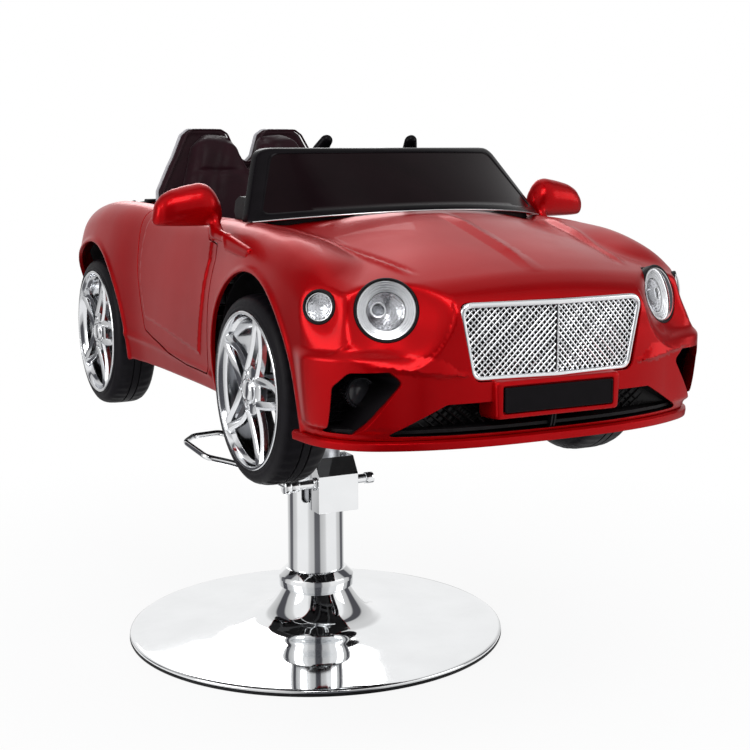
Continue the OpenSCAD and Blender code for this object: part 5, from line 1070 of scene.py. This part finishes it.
def capsule(x, y, z, a, b, ra, rb):
    """Distance to a bar with round ends, of radius ra at a and rb at b."""
    a, b = np.array(a, float), np.array(b, float)
    d = b - a
    t = np.clip(((x - a[0]) * d[0] + (y - a[1]) * d[1] + (z - a[2]) * d[2]) / (d @ d), 0, 1)
    away = np.sqrt((x - a[0] - t * d[0]) ** 2 + (y - a[1] - t * d[1]) ** 2 + (z - a[2] - t * d[2]) ** 2)
    return away - (ra + (rb - ra) * t)


def mirror_form(x, y, z):
    s = (x - 241.9) / 96.1
    r = knots(np.clip(s, 0, 1), HEADS)
    zc = 696.7 + 28 * (0.85 * r - 0.8)
    dy = np.where(y > -231.6, 7.0 * r + 3, 26 * r)
    head = (np.hypot((y + 231.6) / dy, (z - zc) / (28 * r)) - 1) * 22 * r
    head = smax(head, np.abs(x - 289.9) - 48.0, 6)
    head = smax(head, y + 226.5, 2.5)
    arm = capsule(x, y, z, (256, -238, 690), (257.5, -256, 664), 7.0, 7.6)
    foot = smin(capsule(x, y, z, (257.5, -252, 661), (258.5, -300, 656), 7.4, 6.6),
                capsule(x, y, z, (258.5, -300, 656), (259, -374, 645), 6.6, 4.4), 5)
    foot = smin(foot, capsule(x, y, z, (258.8, -300, 646), (259.2, -368, 637), 6.2, 4.0), 6)
    arm = smin(arm, foot, 7)
    arm = smax(arm, -(skin(x, y, z) + 1.0), 1)
    return smin(head, arm, 7)


v, q = surface_net(mirror_form, (236, -390, 625), (344, -212, 735), 2.6)
head_piece = piece("mirror_bodies", v, q, RED, None)
mg = rounded([(264, 674), (326, 682), (330, 694), (322, 706), (275, 714), (262, 706)], 8)
cut(head_piece, [prism(mg, -229.2, -200, "y")])
mir = piece("mirror_bodies", *both(taken(head_piece)), RED, None)
set_normals(mir, [(lambda x, y, z: mirror_form(np.abs(x), y, z), 0, 1)])
attach(mir, "car", ["mirror_housings"])
face = offset_outline(ccw(mg), 0.5)
glass = stacked([upright(offset_outline(face, g), y) for y, g in ((-229.4, 0), (-227.6, 0), (-227.0, 0.8))])
piece("mirror_faces", *both(glass), MIRROR, "car", ["mirror_glasses"], 40)

# ---------------------------------------------------------------- seat
LEAN_Y, LEAN_Z, BACK_H = 207.75, 460.3, 352.4


def leaning(x, h, w, back=0.0):
    """Point of the leaning seat back: x across, h up it, w forward of it."""
    return (x, LEAN_Y + back + 0.208 * h - 0.978 * w, LEAN_Z + 0.978 * h + 0.208 * w)


BACK = np.array([[0.79, 0.04], [0.82, 0.5], [0.955, 0.54], [0.93, 0.7], [0.8, 0.82], [0.75, 0.86], [0.64, 0.97],
                 [0.56, 1], [0.24, 1], [0.16, 0.975], [0.08, 0.87], [0, 0.835]])
BACK = BACK * np.array([172.0, BACK_H])
full = np.concatenate([BACK, (BACK * np.array([-1, 1]))[::-1][1:]])
full = rounded(ccw(full), 13, 4)


def back_plate(rows, back):
    """Closed form of the seat back's outline: rows are (place forward, inset)."""
    return stacked([[leaning(p[0], p[1], w, back) for p in offset_outline(full, g)] for w, g in rows])


_, front_y, foot_z = np.array(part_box("seat_shell")[0]) * MM
bw, wall_t, ledge_z = 139.6, 5, 531


def slab(a0, a1, b0, b1, radius, lo, hi, axis):
    return prism(rounded([(a0, b0), (a1, b0), (a1, b1), (a0, b1)], radius), lo, hi, axis)


shell_parts = [back_plate([(-5.2, 1.6), (-4.4, 0.1), (-3.0, -0.4), (-2.0, -0.4), (-0.4, 0.3), (0.2, 2.0)],
                          17.1),
               slab(-bw, bw, front_y, 205, 6, 528.6, 533.4, "z"),
               slab(-bw, bw, foot_z, ledge_z, 4, front_y, front_y + wall_t, "y"),
               slab(front_y + 2, 203, foot_z, ledge_z, 4, -bw, -bw + wall_t, "x"),
               slab(front_y + 2, 203, foot_z, ledge_z, 4, bw - wall_t, bw, "x")]
piece("seat_tub", *join(*shell_parts), GREY, "car", ["seat_shell"], 40)


def puff(name, node, cap, pressure, voxel, shrink):
    """Cloth under pressure, started from a slightly smaller copy of the CAD pad."""
    ob = copy_of(NODES[node], name)
    ob.data.materials.clear(); ob.data.materials.append(LEATHER)
    bm = bmesh.new(); bm.from_mesh(ob.data)
    bmesh.ops.remove_doubles(bm, verts=bm.verts, dist=0.00005)
    mid = sum((v.co for v in bm.verts), Vector()) / len(bm.verts)
    for v_ in bm.verts:
        v_.co = mid + (v_.co - mid) * shrink
    bm.to_mesh(ob.data); bm.free()
    mod = ob.modifiers.new("remesh", "REMESH")
    mod.mode, mod.voxel_size, mod.use_smooth_shade = "VOXEL", voxel, True
    apply(ob)
    rest = points_of(ob.data)
    cl = ob.modifiers.new("cloth", "CLOTH")
    cl.settings.use_pressure = True
    cl.settings.uniform_pressure_force = pressure
    cl.settings.effector_weights.gravity = 0
    cl.settings.quality = 4
    cl.settings.tension_stiffness = cl.settings.compression_stiffness = 12
    cl.point_cache.frame_start, cl.point_cache.frame_end = 1, 20
    for fr in range(1, 21):
        scene.frame_set(fr)
    dg = bpy.context.evaluated_depsgraph_get()
    got = points_of(ob.evaluated_get(dg).to_mesh())
    ob.evaluated_get(dg).to_mesh_clear()
    ob.modifiers.clear()
    d = got - rest
    far = np.linalg.norm(d, axis=1)
    d *= np.minimum(1, cap / np.maximum(far, 1e-9))[:, None]
    d[~np.isfinite(d)] = 0
    ob.data.vertices.foreach_set("co", (rest + d).reshape(-1))
    scene.frame_set(1)
    sm = ob.modifiers.new("even", "SMOOTH"); sm.factor, sm.iterations = 0.5, 6
    ss = ob.modifiers.new("sub", "SUBSURF"); ss.levels = 1
    apply(ob)
    for p in ob.data.polygons:
        p.use_smooth = True
    ob.data.update()
    return ob


def draw_in(ob, lines, depth, width, axis):
    """Presses sewn channels into a pad's face: lines are (point, direction) pairs, seen along an axis."""
    axis = np.asarray(axis, float)
    co = points_of(ob.data) * MM
    face = np.clip(points_of(ob.data, "normal") @ axis, 0, 1)
    for p, d in lines:
        r = co - np.asarray(p, float)
        for along in (axis, np.asarray(d, float) / np.linalg.norm(d)):
            r = r - np.outer(r @ along, along)
        co -= axis * (face * depth * np.exp(-(np.linalg.norm(r, axis=1) / width) ** 2))[:, None]
    ob.data.vertices.foreach_set("co", (co / MM).reshape(-1))
    ob.data.update()


cushion = puff("seat_pad", "seat_cushion", 0.008, 4.0, 0.005, 0.975)
draw_in(cushion, [((0, 14, 580), (1, 0, 0))], 2.0, 4.0, (0, 0, 1))
attach(cushion, "car", ["seat_cushion"])
backpad = puff("back_pad", "seat_back_pad", 0.008, 4.0, 0.005, 0.975)
front_dir = (0, -0.978, 0.208)
draw_in(backpad, [(leaning(0, 275, 30), (1, 0, 0)), (leaning(0, 150, 30), (1, 0, 0))], 2.2, 4.5, front_dir)
attach(backpad, "car", ["seat_back_pad"])
facing = back_plate([(-1, 4.5), (2, 2.8), (6, 2.6), (9, 4.0), (10.6, 7.5), (11.2, 11)], 17.1)
piece("seat_facing", *facing, LEATHER, "car", smooth=60)
pipe_line = offset_outline(full, 6.0)
pipe_pts = [leaning(p[0], max(p[1], 96), 15.5, 11.6) for p in pipe_line]
seen = [pipe_pts[0]]
for p in pipe_pts[1:]:
    if np.linalg.norm(np.array(p) - np.array(seen[-1])) > 2.5:
        seen.append(p)
piping = tube(seen, 1.9, 8, closed=True, up=front_dir)
ring = rounded([(-134, 8), (134, 8), (134, 168), (-134, 168)], 16, 5)
piping2 = tube([(p[0], p[1], 563) for p in ring], 1.9, 8, closed=True)
piece("seat_piping", *join(piping, piping2), LEATHER, "car")

# black trim along the cockpit's rear edge and the sills of the opening
trim = cockpit_outline(-1.2)
hoop = []
for p in trim:
    if p[1] > 70:
        rim_z = reach(lambda m: skin_at(p[0] * 1.012, p[1] * 1.004, m) < 0, 620.0, 720.0, 24)
        hoop.append((p[0], p[1], rim_z - 0.5))
hoop.sort(key=lambda p: math.atan2(p[0], p[1] - 60))
piece("cockpit_edge_trim", *tube(smooth_path(hoop, 90), 3.2, 8, flat=0.9), GLOSS, "car")

# ---------------------------------------------------------------- dashboard faces, yoke and horn
dials = []
for s in (-1, 1):
    ring_ = revolve([(16.5, 0), (17.2, 2.2), (18.6, 2.8), (19.6, 1.8), (19.8, -1)], 48, True)
    face_ = revolve([(0, 0.4), (16.6, 0.4), (16.6, -1.2), (0, -1.2)], 48)
    needle = prism([(-0.7, -2), (0.7, -2), (0.3, 12.5), (-0.3, 12.5)], 0.6, 1.2, "z")
    marks = []
    for k in range(9):
        a = math.radians(-120 + 30 * k)
        u_, w_ = np.array([math.sin(a), math.cos(a)]), np.array([math.cos(a), -math.sin(a)])
        quad = [u_ * 12.6 + w_ * 0.4, u_ * 15.6 + w_ * 0.4, u_ * 15.6 - w_ * 0.4, u_ * 12.6 - w_ * 0.4]
        marks.append(prism(quad, 0.3, 0.8, "z"))
    at = (127.1 * s, -183.4, 681.6)
    ax = ((-1, 0, 0), (0, 0, 1), (0, 1, 0))
    dials.append((placed(join(ring_, needle, *marks), at, *ax), placed(face_, at, *ax)))
for name, mat_, parts in zip(("gauge_rings", "gauge_faces"), (PLATED, GLOSS), zip(*dials)):
    piece(name, *join(*parts), mat_, "car", smooth=40)

AXIS = np.array([0, 0.743925, 0.668263]); UPV = np.array([0, -0.668263, 0.743925])
HUB = np.array([0, -137.25, 735.95]) - 11 * AXIS
YOKE = np.array([[-0.9, 0.95], [-0.98, 0.62], [-1.02, 0.2], [-0.98, -0.3], [-0.75, -0.62], [-0.28, -0.72],
                 [0.28, -0.72], [0.75, -0.62], [0.98, -0.3], [1.02, 0.2], [0.98, 0.62], [0.9, 0.95]]) * 75
GRIP = 12 * np.array([0.8, 1, 1, 0.95, 0.75, 0.6, 0.6, 0.75, 0.95, 1, 1, 0.8])
ypath = smooth_path(np.column_stack([YOKE, np.zeros(12), GRIP]), 34)


def yoke_form(x, y, z):
    d = None
    for k in range(len(ypath) - 1):
        a, b = ypath[k], ypath[k + 1]
        c = capsule(x, y, z * 1.18, (a[0], a[1], 0), (b[0], b[1], 0), a[3] - 0.4, b[3] - 0.4)
        d = c if d is None else np.minimum(d, c)
    hub = smax(np.hypot(x, y) - 31.0, np.abs(z) - 10.4, 4)
    bar = smax(np.abs(y) - 8.6, np.abs(z) - 4.8, 3)
    bar = smax(bar, np.abs(x) - 74, 3)
    low = smax(smax(np.abs(x) - 10.5, np.abs(z) - 4.8, 3), np.abs(y + 26) - 26, 2)
    for form in (bar, low, hub):
        d = smin(d, form, 6)
    return smax(d, -smax(np.hypot(x, y) - 18.8, 1.4 - z, 0.6), 0.8)


v, q = surface_net(yoke_form, (-94, -74, -16), (94, 88, 16), 2.4)
m = np.array([[-1, 0, 0], UPV, AXIS])
grad = nearest_slope(yoke_form, v)
grad /= np.linalg.norm(grad, axis=1)[:, None] + 1e-9
piece("yoke_grips", HUB + v @ m, q, GLOSS, "steering", ["steering_yoke"], 180, grad @ m)
b_lo = HUB + 6.3 * AXIS
btn = revolve([(0, 11.0), (6, 10.9), (11, 10.2), (14.5, 8.9), (16.2, 7.4), (16.9, 5.4), (16.9, 0.2), (0, 0.2)],
              48)
btn_ring = revolve([(10.2, 10.7), (10.9, 11.1), (11.7, 10.5), (11.2, 9.6)], 48, True)
piece("horn_cap", *placed(join(btn, btn_ring), b_lo, *m), BLACK, "horn", ["horn_button"], 40)

# ---------------------------------------------------------------- wheels
TYRE = [(98.0, -3.0), (101.2, -3.0), (102.6, -2.2), (105.0, -1.9), (106.2, -3.0), (107.6, -3.1), (112.0, -3.4),
        (116.4, -6.2), (118.6, -9.4), (119.9, -13.0), (120.9, -17.5), (121.4, -23.0), (121.5, -29.0),
        (119.0, -29.6), (119.0, -31.0), (121.5, -31.6), (121.5, -40.4), (119.0, -41.0), (119.0, -42.4),
        (121.5, -43.0), (121.4, -50.0), (120.9, -55.0), (119.9, -59.5), (118.0, -63.5), (114.0, -67.5),
        (108.0, -69.8), (99.0, -71.8), (98.0, -71.8)]


def tread(a, r, z):
    """Blocks across the tyre's running face, a step apart on its two halves."""
    block_ = np.floor(a * 90 / (2 * math.pi) + 0.12 * np.sign(z + 36)) % 2
    return r - block_ * ((r > 119.6) & (r < 121.45)) * 1.1


tyre = revolve(TYRE, 180, True, tread)
LIPS = [(91.4, -12), (94.2, -9.0), (95.4, -6.5), (95.8, -2.0), (97.0, -0.3), (100.0, -0.2), (100.9, -1.0),
        (101.0, -2.7), (98.0, -2.9), (98.0, -71.6), (95.6, -71.6), (93.6, -68), (92.8, -36), (91.2, -22)]
rim_parts = [revolve(LIPS, 120, True)]


def spoke(side, a0):
    """One bar of a pair: broad at the hub, drawn in towards the rim, with a ridge along its outer side."""
    rings = []
    c, s = math.cos(a0), math.sin(a0)
    for k in np.linspace(0, 1, 15):
        r = 22 + (94.6 - 22) * k
        lat = side * (15.5 - 11.5 * k + 2.6 * math.sin(math.pi * k))
        w = 5.6 - 0.6 * k + 32.5 * max(0, k - 0.82) ** 1.2
        top = -4.2 - 3.4 * math.sin(math.pi * k) + 0.6 * k
        sec = [(-w, top - 9), (-w, top - 2.6), (-w * 0.62, top - 1.0), (w * 0.30 * side, top + 0.6),
               (w * 0.62, top - 1.0), (w, top - 2.6), (w, top - 9), (0, top - 11)]
        rings.append([(r * c - (lat + dx) * s, r * s + (lat + dx) * c, z) for dx, z in sec])
    return stacked(rings)


for k in range(5):
    a0 = math.radians(18 + 72 * k - 35)
    rim_parts += [spoke(1, a0), spoke(-1, a0)]
    mid_a = a0 + math.radians(36)
    for prof, n in (([(0, -6.2), (3.6, -6.2), (4.6, -5.4), (5.6, -5.0), (6.6, -5.6), (6.9, -12)], 20),
                    ([(0, -5.0), (2.0, -5.0), (2.8, -6.0)], 6)):
        rim_parts.append(moved(revolve(prof, n), (21.5 * math.cos(mid_a), 21.5 * math.sin(mid_a), 0)))
hub_prof = [(0, -0.9), (7.5, -1.1), (11.0, -2.0), (12.6, -3.6), (13.4, -3.6), (14.2, -2.2), (15.8, -2.0),
            (16.6, -3.0), (17.0, -5.4), (28.5, -6.6), (31.4, -8.4), (31.8, -17), (21, -18), (20.6, -47.5),
            (6.5, -47.5)]
rim_parts.append(revolve(hub_prof, 72))
rim = join(*rim_parts)
AXLE, FRONT_Y, REAR_Y = 470, -376.0, 286.0
WHEELS = [("front_left", 1, FRONT_Y), ("front_right", -1, FRONT_Y), ("rear_left", 1, REAR_Y),
          ("rear_right", -1, REAR_Y)]
SKINS = ((tyre, "tyre_skin_", "tyre_", RUBBER, 50), (rim, "wheel_", "rim_", PLATED, 32))
for label, s, y in WHEELS:
    ax = ((0, 0, -s), (0, 1, 0), (s, 0, 0))
    for form, name, node, mat_, ang in SKINS:
        piece(name + label, *placed(form, (270 * s, y, AXLE), *ax), mat_, "wheel_" + label, [node + label], ang)


def caliper(y0, s):
    """Brake caliper behind the spokes, with its two piston bosses."""
    pts_ = [(87.6 * math.cos(a), 87.6 * math.sin(a)) for a in np.radians(np.linspace(-37, 37, 17))]
    pts_ += [(49.4 * math.cos(a), 61.75 * math.sin(a)) for a in np.radians(np.linspace(38, -38, 13))]
    c, sn = math.cos(math.radians(214)), math.sin(math.radians(214))
    out = [(y0 + (p[0] * sn + p[1] * c), AXLE - (p[0] * c - p[1] * sn)) for p in rounded(ccw(pts_), 3, 3)]
    centre = np.mean(out, 0)
    bosses = [prism(centre + circle(0, 0, 1, 24) * (11, 7) + (o, 0), 240, 243.4, "x") for o in (-13, 13)]
    return pair(join(prism(out, 205.4, 240.7, "x"), *bosses))[0 if s > 0 else 1]


for label, s, y in WHEELS[:2]:
    piece("caliper_" + label, *caliper(y, s), CALIPER, "knuckle_" + label.split("_")[1])
piece("caliper_rear", *join(caliper(REAR_Y, 1), caliper(REAR_Y, -1)), CALIPER, "car")

# ---------------------------------------------------------------- pedestal
RC, RE = (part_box(node)[1][0] * MM for node in ("base_cover", "rubber_edge"))  # outer radii
BELL = [[0, 1], [0.05, 0.71], [0.11, 0.45], [0.21, 0.25], [0.36, 0.14], [0.66, 0.055], [1, 0]]
slope = [(52 + (RC - 52) * k, 10 + 65 * float(knots(np.array([k]), BELL)[0]))
         for k in np.linspace(0, 1, 64) ** 1.5]
rolled = [(RC - 1.0, 10.0), (RE - 2.2, 9.7), (RE - 0.9, 8.8), (RE - 0.4, 7.2), (RE - 0.7, 5.6), (RE - 1.6, 4.9),
          (RE - 2.4, 5.4), (RC - 1.4, 8.0)]
under = [(r - 2.2 * (1 - i / 64), z - 2) for i, (r, z) in enumerate(slope[::-1])][1:-1]
cover = [(51.4, 75.2)] + slope[:-1] + rolled + under
piece("pressed_cover", *revolve(cover, 180, True), CHROME, "pedestal", ["base_cover"], 40)
rub = [(RE - 6, 0.0), (RE - 2.2, 0.0), (RE - 0.6, 0.7), (RE, 1.8), (RE, 3.4), (RE - 0.5, 4.4), (RE - 1.6, 4.8),
       (RE - 4, 5.0), (RE - 6, 5.0)]
piece("edge_band", *revolve(rub, 180, True), EDGE, "pedestal", ["rubber_edge"], 40)
col = [(45.05, 75.1), (58.6, 75.1), (59.6, 75.7), (60, 76.8), (60, 92.4), (59.7, 93.6), (58.9, 94.6),
       (49.6, 103.9), (48.6, 104.7), (47.4, 105), (45.05, 105)]
piece("column_collar", *revolve(col, 128, True), CHROME, "pedestal", ["collar_ring"], 40)
PIVOT, ACROSS = (0, -58, 255), ((0, 0, -1), (0, 1, 0), (1, 0, 0))
ring_r = 10.2
spindle = []
for x0, x1, r in ((-70, -56, 9.0), (-31.6, -28.4, ring_r), (40.4, 43.6, ring_r), (59, 73, 9.0)):
    prof = [(0, x0), (r - 1.2, x0), (r - 0.3, x0 + 0.4), (r, x0 + 1.2)]
    spindle.append(revolve(prof + [(r_, x0 + x1 - x) for r_, x in reversed(prof)], 48))
spindle, f = join(*spindle, revolve([(0, -69), (7.0, -69), (7.0, 72), (0, 72)], 48))
lo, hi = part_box("lever_shaft")
as_cad = (hi[1] - lo[1]) * MM / 2 / ring_r
piece("lever_spindle", *placed((spindle * (as_cad, as_cad, 1), f), PIVOT, *ACROSS), CHROME, "lever",
      ["lever_shaft"], 40)
LEVER = [(-74.5, -58, 255), (-114.8, -58, 281.2), (-164, -58, 303.2), (-205, -58, 316), (-214, 10, 327.6),
         (-190.7, 40, 328.8), (-143.5, 40, 330.6), (-92.3, 4, 303.8), (-74.5, -53.5, 259.5)]
lp = np.array(LEVER, float)
fine = [lp[0]]
for before, at, after in zip(lp, lp[1:], lp[2:]):
    a, b = (at + (end - at) / np.linalg.norm(end - at) * 10 for end in (before, after))
    fine += [(1 - t) ** 2 * a + 2 * t * (1 - t) * at + t * t * b for t in np.linspace(0, 1, 7)]
fine.append(lp[-1])
boss = revolve([(0, -81), (9.6, -81), (10.6, -80.2), (11, -79), (11, -71.6), (10.4, -70.4), (9.4, -70),
                (0, -70)], 48)
piece("foot_lever_rod", *join(tube(fine, 4.5, 16), placed(boss, PIVOT, *ACROSS)), CHROME, "lever",
      ["foot_lever"], 40)

# ---------------------------------------------------------------- floor
me = bpy.data.meshes.new("studio_floor")
me.from_pydata([(-9, -9, 0), (9, -9, 0), (9, 9, 0), (-9, 9, 0)], [], [(0, 1, 2, 3)])
floor = bpy.data.objects.new("studio_floor", me)
scene.collection.objects.link(floor)
fm = bpy.data.materials.new("studio_floor"); fm.use_nodes = True
fn, fl = fm.node_tree.nodes, fm.node_tree.links
fn.clear()
f_out, f_path, f_co, f_soft, f_glow, f_mix, f_tone, f_far, f_len, f_any, f_all, f_part = (
    fn.new("ShaderNode" + kind) for kind in (
        "OutputMaterial", "LightPath", "TexCoord", "BsdfDiffuse", "Emission", "MixShader", "MixRGB", "MapRange",
        "VectorMath", "Math", "Math", "Math"))
f_soft.inputs["Color"].default_value = (0.86, 0.86, 0.86, 1)
f_tone.inputs[1].default_value = (1, 1, 1, 1)
f_len.operation, f_part.operation = "LENGTH", "MULTIPLY"
f_any.operation = f_all.operation = "MAXIMUM"
for socket, value in (("From Min", 0.4), ("From Max", 1.3), ("To Min", 0.9), ("To Max", 1.0)):
    f_far.inputs[socket].default_value = value
# mostly white to the camera, so that the object's shadow still shows; polished metal sees the bands in it
wire(fl, (f_path.outputs["Is Glossy Ray"], f_tone.inputs[0]),
     (bands(fn, fl, f_co.outputs["Object"]), f_tone.inputs[2]), (f_tone.outputs[0], f_glow.inputs["Color"]),
     (f_co.outputs["Object"], f_len.inputs[0]), (f_len.outputs["Value"], f_far.inputs["Value"]),
     (f_path.outputs["Is Camera Ray"], f_any.inputs[0]), (f_path.outputs["Is Glossy Ray"], f_any.inputs[1]),
     (f_any.outputs[0], f_all.inputs[0]), (f_path.outputs["Is Transmission Ray"], f_all.inputs[1]),
     (f_all.outputs[0], f_part.inputs[0]), (f_far.outputs["Result"], f_part.inputs[1]),
     (f_part.outputs[0], f_mix.inputs["Fac"]), (f_soft.outputs[0], f_mix.inputs[1]),
     (f_glow.outputs[0], f_mix.inputs[2]), (f_mix.outputs[0], f_out.inputs["Surface"]))
me.materials.append(fm)

bpy.context.view_layer.update()
